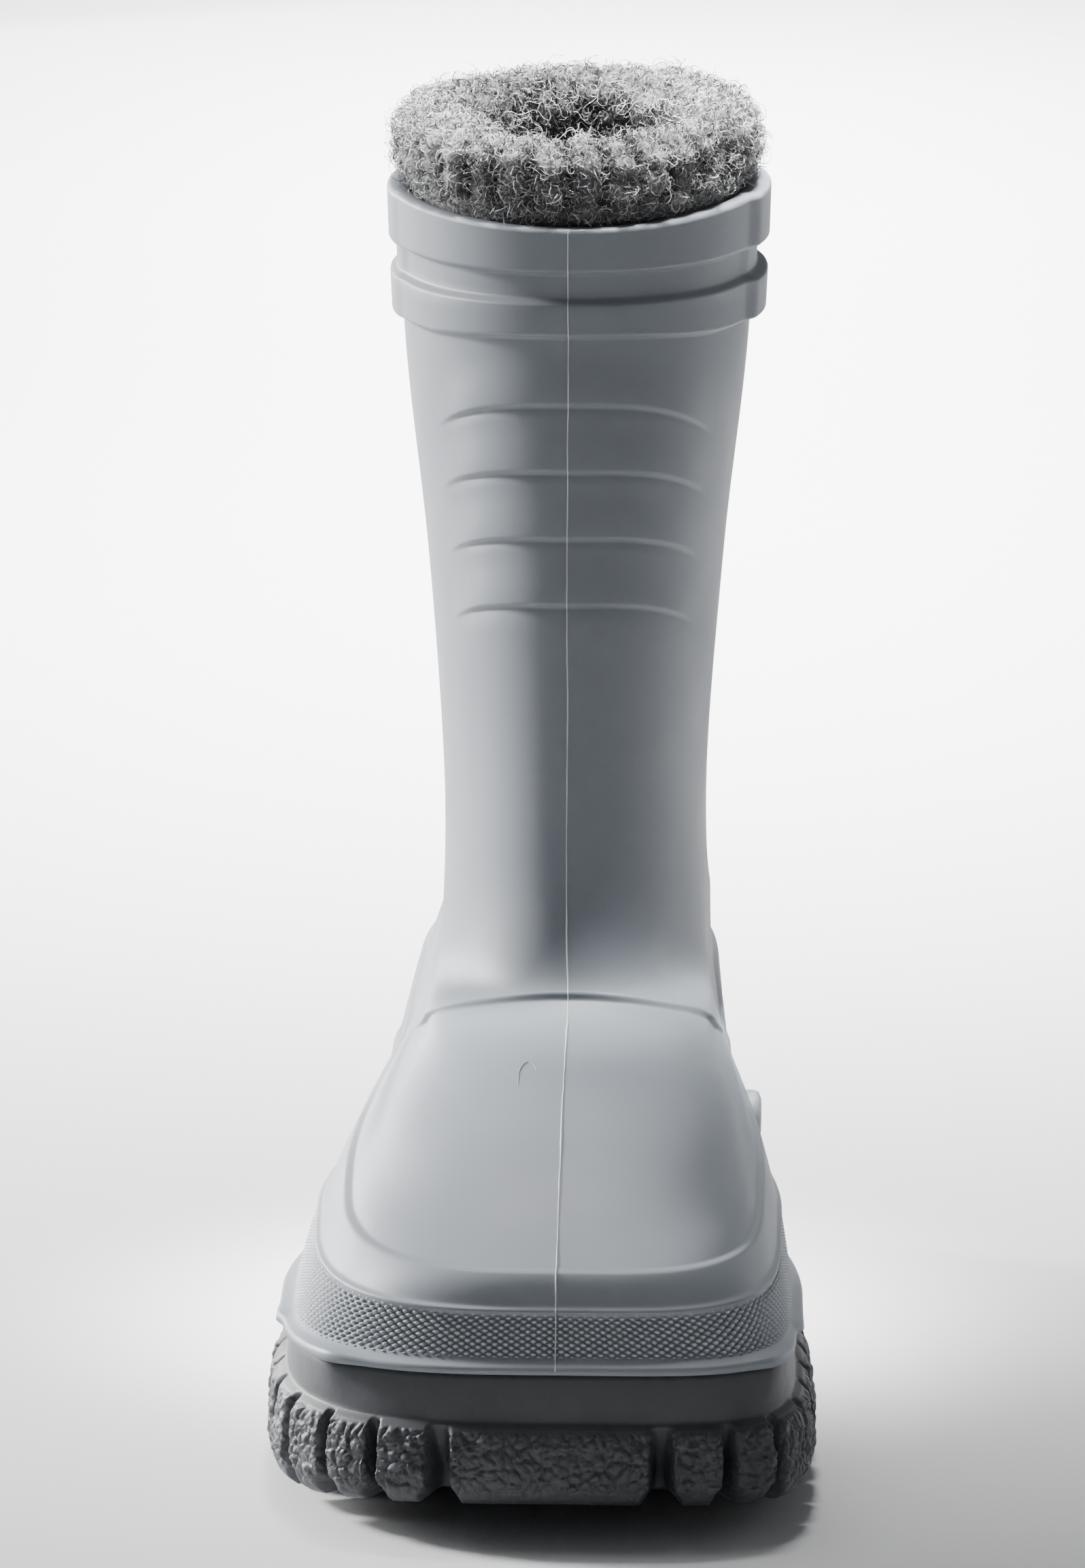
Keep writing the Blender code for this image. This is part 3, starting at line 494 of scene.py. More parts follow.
def raised(form, length):  # how far the moulded details stand out: steps, beads, ridges and bands added up
    s = upperShape
    t, side = form["t"], form["side"]
    foxing = lineAt(form, "foxing")
    out = s["overlay"] * (1.0 - ease((length - lineAt(form, "panel")) / s["overlayWall"]))
    flange = 1.0 - np.clip((length - s["flangeFoot"]) / s["flangeRun"], 0.0, 1.0)
    out = out + lipWidth(form["points"][:, 0, 1], side) * flange ** s["flangeBend"]
    out = out + s["flangeFlash"] * hump(length, s["flashWidth"])
    out = out + s["bead"] * hump(length - foxing, s["beadWidth"])
    run = s["recessRun"]
    recess = rise(length - s["flangeRun"] - run, run) * (1.0 - rise(length - foxing + s["recessTop"], run))
    out = out - s["knurlRecess"] * recess
    above = length - instepLine(form)
    ends = 1.0 - ease((t - s["instepEnd"]) / s["instepEndRun"])
    fade = 1.0 - ease((above - 1.0) / s["instepFade"])
    out = out + s["instepStep"] * ends * rise(above, s["instepWall"]) * fade
    reach = np.where(side > 0, s["flexMedial"], 1.0) * s["flexEnd"]
    ends = 1.0 - ease((t - reach) / s["flexEndRun"])
    for k in range(s["flexRidges"]):
        above = length - flexLine(form, k)
        fade = 1.0 - ease((above - 0.5) / s["flexFade"])
        crease = s["flexCrease"] * hump(above + s["creaseBelow"], s["creaseWidth"])
        out = out + ends * (s["flexStep"] * rise(above, s["flexWall"]) * fade - crease)
    sideways = ease((t - s["bandStepAt"]) / s["bandStepRun"])
    wide = np.where(side > 0, s["bandSide"], s["bandLateral"])
    band = s["bandFront"] + (wide - s["bandFront"]) * sideways
    low = rise(length - lineAt(form, "cuff"), s["bandWall"])
    groove = rise(length - lineAt(form, "groove"), 1.5 * s["bandWall"])
    high = rise(length - lineAt(form, "top"), s["bandWall"])
    return out + band * (low - groove + high) + s["grooveSide"] * sideways * (groove - high)


def rimRounding(form, length):  # quarter circle that turns the rim over at its top
    r = upperShape["rimRound"]
    over = np.clip((length - lineAt(form, "rim", -r)) / r, 0.0, 1.0)
    return r * (1.0 - np.sqrt(np.maximum(1.0 - over ** 2, 0.0)))


def outerSurface(form, length):  # the plain skin moved out by its details and a slight moulded unevenness
    points, normal = sample(form, length)
    s = upperShape
    out = raised(form, length) - rimRounding(form, length) + s["uneven"] * cloudy(points, s["unevenSize"], 3)
    return points + normal * out[..., None], normal


def upperRows(form):  # rows set close together at every edge
    s = upperShape
    wall, step = s["overlayWall"], instepLine(form)
    marks = [(lineAt(form, "base"), 10), (lineAt(form, "base", s["flangeRun"] + 1.3), 4),
             (lineAt(form, "foxing", -1.3), 8), (lineAt(form, "foxing", 1.3), 8),
             (lineAt(form, "panel", -0.4), 9), (lineAt(form, "panel", wall + 0.4), 26),
             (step - 1.2, 8), (step + 1.2, 22)]
    for k in range(s["flexRidges"]):
        edge = flexLine(form, k)
        marks += [(edge - 1.2, 7), (edge + 0.8, 7)]
    for ring in ("cuff", "groove", "top"):
        marks += [(lineAt(form, ring, -0.8), 6), (lineAt(form, ring, 0.8), 3)]
    marks += [(lineAt(form, "rim", -1.0), 6), (lineAt(form, "rim"), 1)]
    rows = []
    for (low, count), (high, _) in zip(marks, marks[1:]):
        rows += [low + (high - low) * k / count for k in range(count)]
    return np.array(rows + [marks[-1][0]])


def innerRows(form):  # fewer rows, because the liner hides the inside
    heights = ("foxing", "panel", "toe", "vamp", "rise", "instep", "ankle", "flex4", "flex1")
    rows = [lineAt(form, "base")] + [lineAt(form, ring) for ring in heights]
    rows += [lineAt(form, "rim", -down) for down in (4.0, 1.0, 0.5, 0.0)]
    return np.array(rows)


def buildUpper():  # outer and inner surface joined at the rim and at the bottom edge
    s = upperShape
    form = skinGrid(toeWeighted(s["columns"]))
    outer, _ = outerSurface(form, upperRows(form))
    length = innerRows(form)
    points, normal = sample(form, length)
    inner = points - normal * (s["wall"] - rimRounding(form, length))[..., None]
    outer[0, :, 2] = jointZ(outer[0, :, 1])
    inner[0, :, 2] = jointZ(inner[0, :, 1])
    rows = np.concatenate([outer, inner[::-1]])
    piece = addPiece("upperShell", rows, [gridQuads(len(rows), s["columns"], True)], upperFinish)
    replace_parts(piece, "upper")
    return outer


outerGrid = buildUpper()

# knurl of small pyramids round the foxing

knurlShape = dict(pitch=1.85, rise=2.0, station=5.0, fine=3, height=0.85, floor=0.55, root=0.5, blunt=0.75,
                  tipWearAndHighlight=0.75, uneven=0.10, unevenSize=9.0, low=2.3, high=-0.55)


def evenMeridians(count, station):  # u values at even steps of arc length round one ring
    dense = np.append(toeWeighted(6000, 2.4), 1.0)
    points = skinPoints(dense)[:, int(station / rings["rim"][0] * (formShape["stations"] - 1))]
    length = lengthAlong(points)
    return np.interp(np.arange(count) / count * length[-1], length, dense), length[-1]


def buildKnurl():  # height = product of two sine waves that run at a slant each way, blunted by a power
    s = knurlShape
    _, around = evenMeridians(8, s["station"])
    cells = int(round(around / s["pitch"]))
    columns = cells * 2 * s["fine"]
    u, _ = evenMeridians(columns, s["station"])
    form = skinGrid(u)
    low, high = lineAt(form, "base", s["low"]), lineAt(form, "foxing", s["high"])
    tall = np.median(high - low)
    rows = int(round(tall / s["rise"] * 2)) * s["fine"]
    share = np.linspace(0.0, 1.0, rows + 1)[:, None]
    length = low + (high - low) * share
    a = np.arange(columns)[None, :] / (2.0 * s["fine"])
    b = share * rows / (2.0 * s["fine"])
    dome = np.abs(np.sin(np.pi * (a + b)) * np.sin(np.pi * (a - b))) ** s["blunt"]
    points, normal = sample(form, length)
    worn = 1.0 + s["uneven"] * cloudy(points, s["unevenSize"], 8)
    top = points + normal * (s["floor"] + s["height"] * dome * worn)[..., None]
    under = points[::-1] + normal[::-1] * (s["floor"] - s["root"])
    loops = np.concatenate([top, under[[0, -1]]])
    edges = gridQuads(len(loops), columns, True)[rows * columns:]
    # tips made paler by a painted highlight as well as by wear, growing with dome height
    tones = np.concatenate([s["tipWearAndHighlight"] * dome ** 2, np.zeros((2, columns))])
    piece = addPiece("foxingKnurl", loops, [foldedTriangles(dome), edges], knurlFinish, tones)
    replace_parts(piece, "upper")


buildKnurl()

# thin mould line at the middle of front and back, round pad on the medial side, short hook mark on the vamp

seamShape = dict(points=900, halfWidth=0.17, height=0.16, root=0.25, wander=0.10, wanderSize=9.0, shake=0.04,
                 shakeSize=2.0, swell=0.35, swellSize=5.0, overKnurl=0.75, overRun=0.6)
padShape = dict(x=33.2, y=31.0, z=40.5, radius=4.6, proud=2.4, root=2.4, edge=1.5, sides=48)


def ridgeOn(path, normal, halfWidth, height, root):  # low ridge with sloping sides along a path on a surface
    across = unit(np.cross(np.gradient(path, axis=0), normal))
    section = np.stack([np.stack([-halfWidth, -root], -1), np.stack([-0.4 * halfWidth, height], -1),
                        np.stack([0.4 * halfWidth, height], -1), np.stack([halfWidth, -root], -1)], 1)
    return carried(path, across, normal, section)


def buildSeams():  # a ridge up one meridian, a little crooked and uneven, lifted over the knurl
    s = seamShape
    for name, u in (("frontMouldLine", 0.0), ("backMouldLine", 0.5)):
        form = skinGrid(np.array([u]))
        length = np.linspace(0.02, form["length"][0, -1] - 0.4, s["points"])[:, None]
        points, normal = outerSurface(form, length)
        path, normal = points[:, 0], normal[:, 0]
        wander = s["wander"] * cloudy(path, s["wanderSize"], 5) + s["shake"] * cloudy(path, s["shakeSize"], 6)
        path = path + np.array([1.0, 0.0, 0.0]) * wander[:, None]
        swell = 1.0 + s["swell"] * cloudy(path, s["swellSize"], 7)
        over = length[:, 0] - knurlShape["low"], lineAt(form, "foxing", knurlShape["high"]) - length[:, 0]
        lift = s["overKnurl"] * rise(over[0], s["overRun"]) * rise(over[1], s["overRun"])
        path = path + normal * lift[:, None]
        points, faces = ridgeOn(path, normal, s["halfWidth"] * swell, s["height"] * swell, s["root"] + lift)
        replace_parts(addPiece(name, points, faces, flashFinish), "upper")


hookShape = dict(path=((-4.45, -46.4), (-4.47, -44.0), (-4.49, -42.2), (-4.01, -39.2), (-3.12, -37.9),
                       (-2.14, -38.6), (-1.46, -41.1)),
                 points=60, halfWidth=0.17, height=0.16, root=0.2, near=14.0, blend=1.5)


# points and normals over plan places: a plane fitted to the nearest surface points by a bell weight
def spotsOn(grid, xy):
    near = grid.reshape(-1, 3)
    near = near[np.linalg.norm(near[:, :2] - xy.mean(0), axis=1) < hookShape["near"]]
    offset = near[None, :, :2] - xy[:, None]
    weight = np.exp(-np.sum(offset ** 2, -1) / hookShape["blend"] ** 2)
    terms = np.concatenate([np.ones((*offset.shape[:2], 1)), offset], -1)
    matrix = np.einsum("nm,nmi,nmj->nij", weight, terms, terms)
    value = np.einsum("nm,nmi,m->ni", weight, terms, near[:, 2])
    plane = np.linalg.solve(matrix, value[..., None])[..., 0]
    normal = unit(np.column_stack([-plane[:, 1], -plane[:, 2], np.ones(len(plane))]))
    return np.column_stack([xy, plane[:, 0]]), normal


def buildHook():  # a thin ridge with tapered ends along a smooth curve on the vamp
    s = hookShape
    at = np.linspace(0.0, 1.0, s["points"])
    marks = np.array(s["path"])
    place = np.linspace(0.0, 1.0, len(marks))
    xy = np.stack([monotone(place, marks[:, k], at) for k in (0, 1)], -1)
    path, normal = spotsOn(outerGrid, xy)
    taper = 0.25 + 0.75 * np.sin(np.pi * at) ** 0.6
    root = np.full(s["points"], s["root"])
    points, faces = ridgeOn(path, normal, s["halfWidth"] * taper, s["height"] * taper, root)
    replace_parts(addPiece("hookMark", points, faces, upperFinish), "upper")


def buildPad():  # a low round disc with a rounded edge, turned about the x axis
    s = padShape
    face = upperShape["overlay"] + s["proud"]
    profile = np.array([(-s["root"], s["radius"]), (0.5, s["radius"]), (face - s["edge"], s["radius"]),
                        (face - 0.35 * s["edge"], s["radius"] - 0.2 * s["edge"]),
                        (face, s["radius"] - s["edge"]), (face + 0.06, 0.5 * s["radius"])])
    sides = s["sides"]
    turn = np.arange(sides) * 2.0 * np.pi / sides
    out, radius = profile[:, :1], profile[:, 1:]
    points = np.stack([s["x"] + out + 0.0 * turn, s["y"] + radius * np.cos(turn),
                       s["z"] + radius * np.sin(turn)], -1)
    caps = np.array([np.arange(sides)[::-1], np.arange(sides) + (len(profile) - 1) * sides])
    faces = [gridQuads(len(profile), sides), caps]
    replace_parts(addPiece("sidePad", points, faces, upperFinish), "upper")


buildSeams()
buildHook()
buildPad()

# outsole: smooth rand, lugs with a rocky face, scooped gaps, cup for the insole

soleShape = dict(
    toeColumns=220, frontColumns=150, backColumns=190, toeRun=50.0, frontRun=125.0, sideRows=64,
    rimWidth=5.0, cupDepth=4.6, ledgeZ=21.2, reach=13.0, treadDepth=5.0,
    toeSpring=8.0, toeSpringFrom=-48.0, toeSpringPower=1.3, toeY=-109.0, heelBevel=1.2, heelBevelFrom=92.0,
    archRise=3.0, archY=22.0, archHalf=18.0, cornerFrom=1.3, cornerShare=0.85, cornerY=-70.0, cornerRun=8.0,
    heelLugHalf=12.6, lugLength=8.4, lugGap=3.4, lugSlope=0.48, slopeLimits=(0.6, 2.4), lugBend=2.0,
    footShrink=1.5, footHigh=0.3, forefootLugs=10, heelLugs=6,
    medialEdges=(15.5, 20.2, 27.3, 29.9, 36.0, 38.4), lateralEdges=(16.9, 21.6, 29.0, 31.4, 38.2, 40.6))
rockShape = dict(pebble=2.1, rock=0.95, shift=0.45, shiftSize=3.0, drawn=0.9, drawnFrom=0.72, crease=0.55,
                 boulder=5.2, boulderRock=0.6, boulderShift=0.3, boulderShiftSize=5.0, boulderReach=0.9,
                 sink=0.25, wrap=100000)
randPlan = dict(frontY=-105.4, backY=105.4, lateral=46.0, medial=40.35, frontX=4.0, backX=-1.4,
                toeRound=0.262, toeLateral=3.4, toeMedial=4.8, heelRound=0.22, heelPower=2.3,
                waist=0.79, heel=0.77)
# the sole's side below the ledge, from top to bottom: how far out, and height as a share from tread to ledge
lugSide = np.array([(1.45, 0.985), (2.1, 0.95), (2.8, 0.84), (3.4, 0.62), (3.5, 0.42), (3.2, 0.24),
                    (2.4, 0.09), (0.6, 0.0)])
gapSide = np.array([(1.0, 0.985), (0.75, 0.93), (0.2, 0.83), (-0.7, 0.70), (-2.2, 0.56), (-4.2, 0.40),
                    (-5.6, 0.22), (-6.0, 0.08)])
# rows under the sole: share of the way in, and how far up to the base under a lug and in a gap
underSide = ((0.5, 0.0, 0.15), (0.72, 0.0, 0.6), (0.97, 0.0, 1.0), (1.0, 0.25, 1.0), (1.04, 0.8, 1.0),
             (1.08, 1.0, 1.0))


def halfRand(side):  # one side of the rand from toe to heel: points, lengths and outward normals
    u = np.linspace(0.0, 0.5, 3000)
    x, y, _, _ = outline(u if side > 0 else np.where(u > 0, 1.0 - u, 1.0 - 1e-9), randPlan)
    x[-1] = randPlan["backX"]
    points = np.stack([x, y], -1)
    length = lengthAlong(points)
    tangent = np.gradient(points, axis=0)
    normal = unit(np.stack([tangent[:, 1], -tangent[:, 0]], -1) * side)
    normal[0], normal[-1] = (0.0, -1.0), (0.0, 1.0)
    return points, length, normal


def lugMask(place, total, side, shrink=0.0):  # 1 on a lug and 0 in a gap, with leaning walls between
    s = soleShape
    step = s["lugLength"] + s["lugGap"]
    seen = s["medialEdges"] if side > 0 else s["lateralEdges"]  # ends of the front lugs, then a regular row
    edges = [(-1e3, seen[0]), seen[1:3], seen[3:5]]
    edges += [(seen[5] + k * step, seen[5] + k * step + s["lugLength"]) for k in range(s["forefootLugs"] - 2)]
    start = total - s["heelLugHalf"]
    edges += [(start - (k + 1) * step, start - s["lugGap"] - k * step) for k in range(s["heelLugs"])]
    edges.append((start, total + 1e3))
    mask = 0.0
    edges = sorted(edges)
    for k, (a, b) in enumerate(edges):
        before = a - edges[k - 1][1] if k else s["lugGap"]
        after = edges[k + 1][0] - b if k + 1 < len(edges) else s["lugGap"]
        fall, climb = [np.clip(s["lugSlope"] * gap, *s["slopeLimits"]) + shrink for gap in (after, before)]
        mask = mask + ease((place - a - shrink) / climb + 1.0) * ease((b - shrink - place) / fall + 1.0)
    return np.minimum(mask, 1.0)


def treadZ(y):  # flat under ball and heel, rising at the toe and a little at the heel
    s = soleShape
    toe = np.clip((s["toeSpringFrom"] - y) / (s["toeSpringFrom"] - s["toeY"]), 0.0, 1.0)
    heel = np.clip((y - s["heelBevelFrom"]) / (-s["toeY"] - s["heelBevelFrom"]), 0.0, 1.0)
    return s["toeSpring"] * toe ** s["toeSpringPower"] + s["heelBevel"] * heel ** 2


def solePlan():  # columns round the sole, closer together at the toe
    s = soleShape
    sides = []
    for side in (1, -1):
        points, length, normal = halfRand(side)
        marks = ((0.0, s["toeColumns"]), (s["toeRun"], s["frontColumns"]), (s["frontRun"], s["backColumns"]),
                 (length[-1], 1))
        runs = [a + (b - a) * np.arange(n) / n for (a, n), (b, _) in zip(marks, marks[1:])]
        place = np.concatenate(runs + [length[-1:]])
        xy = np.stack([np.interp(place, length, points[:, k]) for k in (0, 1)], -1)
        out = unit(np.stack([np.interp(place, length, normal[:, k]) for k in (0, 1)], -1))
        masks = [lugMask(place, length[-1], side, shrink) for shrink in (0.0, s["footShrink"])]
        sides.append((xy, out, *masks, place * side))
    return [np.concatenate([p, q[-2:0:-1]]) for p, q in zip(*sides)]


# domes of crowded pebbles over larger boulders, drawn out upright near the top
def rockyFace(place, z, high, mask):
    s = rockShape
    spot = np.stack([place, z, 0.0 * z], -1)
    a = place / s["pebble"] + s["shift"] * cloudy(spot, s["shiftSize"], 11)
    tall = s["pebble"] * (1.0 + s["drawn"] * ease((high - s["drawnFrom"]) / 0.1))
    b = z / tall + s["shift"] * cloudy(spot, s["shiftSize"], 12)
    near, second, own = pebbles(a, b, s["wrap"], 21)
    crease = 1.0 - np.clip((second - near) / s["crease"], 0.0, 1.0)
    dome = np.sqrt(1.0 - crease ** 2) * (0.45 + 0.55 * own) * (1.0 - 0.3 * near ** 2)
    a = place / s["boulder"] + s["boulderShift"] * cloudy(spot, s["boulderShiftSize"], 13)
    far, _, big = pebbles(a, z / s["boulder"], s["wrap"], 31)
    lump = np.maximum(0.0, 1.0 - (far / s["boulderReach"]) ** 2) * (big - 0.25)
    window = ease((0.955 - high) / 0.05) * ease((high - 0.02) / 0.28)  # fades under the ledge and at the foot
    rocky = window * ease((mask - 0.7) / 0.25)
    return (s["rock"] * dome + s["boulderRock"] * lump - s["sink"]) * rocky, rocky


def buildOutsole():  # loops round the sole from the cup over rim, rand and side to the base between the lugs
    s = soleShape
    plan, normal, lug, lugFoot, place = solePlan()
    columns = len(plan)
    y = plan[:, 1]
    top = jointZ(y) - jointShape["clearance"]
    cup = jointShape["z"] - jointShape["clearance"] - s["cupDepth"]
    tread = treadZ(y)
    arch = s["archRise"] * (1.0 - ease(np.abs(y - s["archY"]) / s["archHalf"]))
    base = tread + s["treadDepth"] + arch
    ledge = s["ledgeZ"]
    corner = np.maximum(lipWidth(y, np.sign(place)) - s["cornerFrom"], 0.0)  # follows the lip's corners
    corner = s["cornerShare"] * (corner * ease((s["cornerY"] - y) / s["cornerRun"]))
    rows = [(-s["rimWidth"] - 0.2, cup), (-s["rimWidth"], top), (-0.9, top), (corner - 0.35, top - 0.12),
            (corner - 0.05, top - 0.45)]
    for v in np.linspace(0.0, 1.0, 7):
        bulge = 0.05 + 0.75 * v - 0.25 * v * v
        rows.append((bulge + (1.0 - v) * corner, top - 0.9 - (top - ledge - 2.2) * v))
    rows += [(0.56, ledge + 0.9), (0.60, ledge + 0.55), (0.68, ledge + 0.3), (0.85, ledge + 0.1)]
    loops = []
    for out, z in rows:
        out, z = np.broadcast_to(out, columns), np.broadcast_to(z, columns)
        loops.append(np.column_stack([plan + normal * out[:, None], z]))
    share = np.linspace(0.0, 1.0, s["sideRows"])
    at = np.linspace(0.0, 1.0, len(lugSide))
    lugOut, lugHigh, gapOut, gapHigh = [monotone(at, table[:, k], share)[:, None]
                                        for table in (lugSide, gapSide) for k in (0, 1)]
    foot = np.clip(1.0 - lugHigh / s["footHigh"], 0.0, 1.0) ** 2  # the lugs narrow at their feet
    lean = (lug + (lugFoot - lug) * foot) ** s["lugBend"]
    out = lean * lugOut + (1.0 - lean) * gapOut
    low = tread + arch * (1.0 - lean)
    high = lean * lugHigh + (1.0 - lean) * gapHigh
    z = low + (ledge - low) * high
    relief, rocky = rockyFace(np.broadcast_to(place, z.shape), z, high, np.broadcast_to(lug, z.shape))
    plainRows = len(loops)
    loops += list(np.dstack([plan[None] + normal[None] * (out + relief)[..., None], z]))
    for inward, onLug, inGap in underSide:
        foot = tread + (base - tread) * (lean[-1] * onLug + (1.0 - lean[-1]) * inGap)
        loops.append(np.column_stack([plan - normal * (s["reach"] * inward), foot]))
    points = np.array(loops)
    faces = [gridQuads(len(points), columns)]
    faces += [f[:, ::-1] for f in rungQuads(0, columns)] + rungQuads((len(points) - 1) * columns, columns)
    tones = np.zeros(points.shape[:2])
    tones[plainRows:plainRows + len(rocky)] = rocky
    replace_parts(addPiece("lugSole", points, faces, soleFinish, tones), "outsole")


buildOutsole()

treadBars = dict(rows=((-72.0, 17.0), (-54.0, 22.0), (-36.0, 22.0), (-18.0, 18.0),
                       (64.0, 12.0), (80.0, 12.0)),
                 halfWidth=4.0, bend=5.0, x=0.5, depth=7.0, edge=0.7, steps=25)


def buildBars():  # shallow chevrons: a rounded bar section carried across the sole
    s = treadBars
    allPoints, allFaces, count = [], [], 0
    for y, reach in s["rows"]:
        v = np.linspace(-1.0, 1.0, s["steps"])
        place = y + s["bend"] * np.abs(v)
        path = np.stack([s["x"] + reach * v, place, 0.0 * v], -1)
        w, e = s["halfWidth"], s["edge"]
        section = np.array([(-w, s["depth"]), (-w, e), (-w + 0.3 * e, 0.3 * e), (-w + e, 0.0), (w - e, 0.0),
                            (w - 0.3 * e, 0.3 * e), (w, e), (w, s["depth"])])
        foot = treadZ(place[:, None] + section[None, :, 0])
        loops = np.repeat(section[None], s["steps"], 0) + np.stack([0.0 * foot, foot], -1)
        across, up = [np.tile(axis, (s["steps"], 1)) for axis in ((0.0, 1.0, 0.0), (0.0, 0.0, 1.0))]
        points, faces = carried(path, across, up, loops)
        allPoints.append(points)
        allFaces += [f + count for f in faces]
        count += len(points)
    piece = addPiece("treadBars", np.concatenate(allPoints), allFaces, soleFinish)
    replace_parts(piece, "outsole")


buildBars()
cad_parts["insole"].data.materials.clear()
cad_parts["insole"].data.materials.append(feltFinish)

# wool liner: a ribbed, clumpy roll above the rim and the sleeve inside the boot

linerShape = dict(columns=420, rollRows=60, gap=0.7, wall=4.5, endDrop=26.0, ribPitch=6.8, puffTall=4.8,
                  puffHeight=2.9, puffReach=0.62, puffMiddle=0.55, seam=0.35, seamWidth=0.13,
                  puffFree=0.4, ribShift=0.12, ribShiftSize=6.0, puffShift=0.5, puffShiftSize=5.0,
                  frontTo=0.55, frontRun=0.45, frontLeast=0.4, lump=17.0, lumpHeight=1.2, sink=0.6,
                  # painted shade: the wool darkened low in front, down the inside of the opening and over the
                  # sleeve
                  frontPaintedShade=0.45, insidePaintedShade=0.72, hiddenTone=0.1, sleevePaintedShade=0.06, tone=(0.06, 0.36),
                  tonePower=1.5)
rollSection = np.array([(-2.3, 0.8), (-0.6, 2.4), (0.6, 5.4), (0.5, 9.8), (-1.4, 13.2), (-5.4, 14.8),
                        (-9.4, 13.4), (-12.0, 9.0), (-12.6, 2.5), (-11.2, -6.0), (-9.0, -15.0)])
# the rings that the lining passes, upwards
linedRings = ("base", "foxing", "panel", "vamp", "rise", "instep", "ankle", "flex4", "flex1")


# the section of the roll carried round the rim, pushed in and out by ribs, clumps and lumps
def buildLiner():
    s = linerShape
    form = skinGrid(np.arange(s["columns"]) / s["columns"])
    rim, normal = sample(form, lineAt(form, "rim")[None])
    rim, flat = rim[0], unit(normal[0] * np.array([1.0, 1.0, 0.0]))
    steps = lengthAlong(rollSection)
    along = np.linspace(0.0, steps[-1], s["rollRows"])
    out, up = monotone(steps, rollSection[:, 0], along), monotone(steps, rollSection[:, 1], along)
    roll = rim[None] + flat[None] * out[:, None, None] + np.array([0.0, 0.0, 1.0]) * up[:, None, None]
    lengths = [lineAt(form, ring) for ring in linedRings]
    points, normal = sample(form, np.array([lineAt(form, "rim", -s["endDrop"])] + lengths[-2::-1]))
    sleeve = points - normal * (upperShape["wall"] + s["gap"] + s["wall"])
    sleeve[-1, :, 2] = jointZ(sleeve[-1, :, 1]) + jointShape["clearance"]
    points, normal = sample(form, np.array(lengths))
    outer = points - normal * (upperShape["wall"] + s["gap"])
    outer[0, :, 2] = jointZ(outer[0, :, 1]) + jointShape["clearance"]
    around = lengthAlong(rim)
    ribs = int(round((around[-1] + np.linalg.norm(rim[0] - rim[-1])) / s["ribPitch"]))
    front = ease((s["frontTo"] - form["t"]) / s["frontRun"])
    turn = around / around[-1] * ribs
    tall = roll * np.array([1.0, 1.0, 0.1])
    a = turn[None] + s["ribShift"] * cloudy(roll, s["ribShiftSize"], 42)
    b = along[:, None] / s["puffTall"] + s["puffShift"] * cloudy(tall, s["puffShiftSize"], 43)
    near, _, own = pebbles(a, b, ribs, 51, s["puffFree"])
    puff = np.sqrt(np.maximum(0.0, 1.0 - (near / s["puffReach"]) ** 2)) * (0.55 + 0.45 * own)
    seam = np.abs(np.mod(turn + 0.5, 1.0) - 0.5)  # valleys between the columns of puffs
    puff = puff - s["seam"] * hump(seam, s["seamWidth"])
    hold = (ease(along / 3.0) * (1.0 - ease((along - along[-1] + 9.0) / 8.0)))[:, None]
    push = s["puffHeight"] * (puff - s["puffMiddle"])
    push = push * (s["frontLeast"] + (1.0 - s["frontLeast"]) * front)
    push = (push + s["lumpHeight"] * cloudy(roll, s["lump"], 44)) * hold
    rollNormal = -gridNormals(roll)
    rollNormal = rollNormal * np.sign(np.sum(rollNormal[10] * flat))  # outwards
    roll = roll + rollNormal * (push - s["sink"] * hold)[..., None]
    rows = np.concatenate([outer, roll, sleeve])
    # painted shade: the roll's tone is darkened in the hollows, low in front and down the inside of the
    # opening
    depth = np.clip(0.55 + push / 2.4, 0.0, 1.0)  # darker in the hollows, low in front and down the inside
    low = ease((0.16 - form["t"]) / 0.14) * (1.0 - ease((along - 6.0) / 7.0))[:, None]
    depth = depth * (1.0 - s["frontPaintedShade"] * low)
    crest = along[np.argmax(up)]
    depth = depth * (1.0 - s["insidePaintedShade"] * ease((along - crest - 4.0) / 11.0))[:, None]
    # the sleeve inside the boot gets a dark tone as painted shade
    tones = np.concatenate([np.full(outer.shape[:2], s["hiddenTone"]),
                            s["tone"][0] + s["tone"][1] * depth ** s["tonePower"],
                            np.full(sleeve.shape[:2], s["sleevePaintedShade"])])
    faces = [gridQuads(len(rows), s["columns"], True)]
    piece = addPiece("woolLiner", rows, faces, feltedFinish, tones)
    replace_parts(piece, "liner")
    return roll, rollNormal, depth


roll, rollNormal, rollShadeDepth = buildLiner()


def fibreRoots(rng, count):  # random spots on the roll, spread evenly by area
    cell = np.linalg.norm(np.cross(np.roll(roll, -1, 1)[:-1] - roll[:-1], roll[1:] - roll[:-1]), axis=-1)
    share = np.cumsum(cell.ravel())
    pick = np.searchsorted(share, rng.random(count) * share[-1])
    r, c = np.unravel_index(np.minimum(pick, cell.size - 1), cell.shape)
    a, b = rng.random((2, count, 1))
    on = (c + 1) % roll.shape[1]

    def read(grid):
        below = grid[r, c] * (1 - a) + grid[r, on] * a
        above = grid[r + 1, c] * (1 - a) + grid[r + 1, on] * a
        return below * (1 - b) + above * b

    return read(roll), unit(read(rollNormal)), rollShadeDepth[r, c]


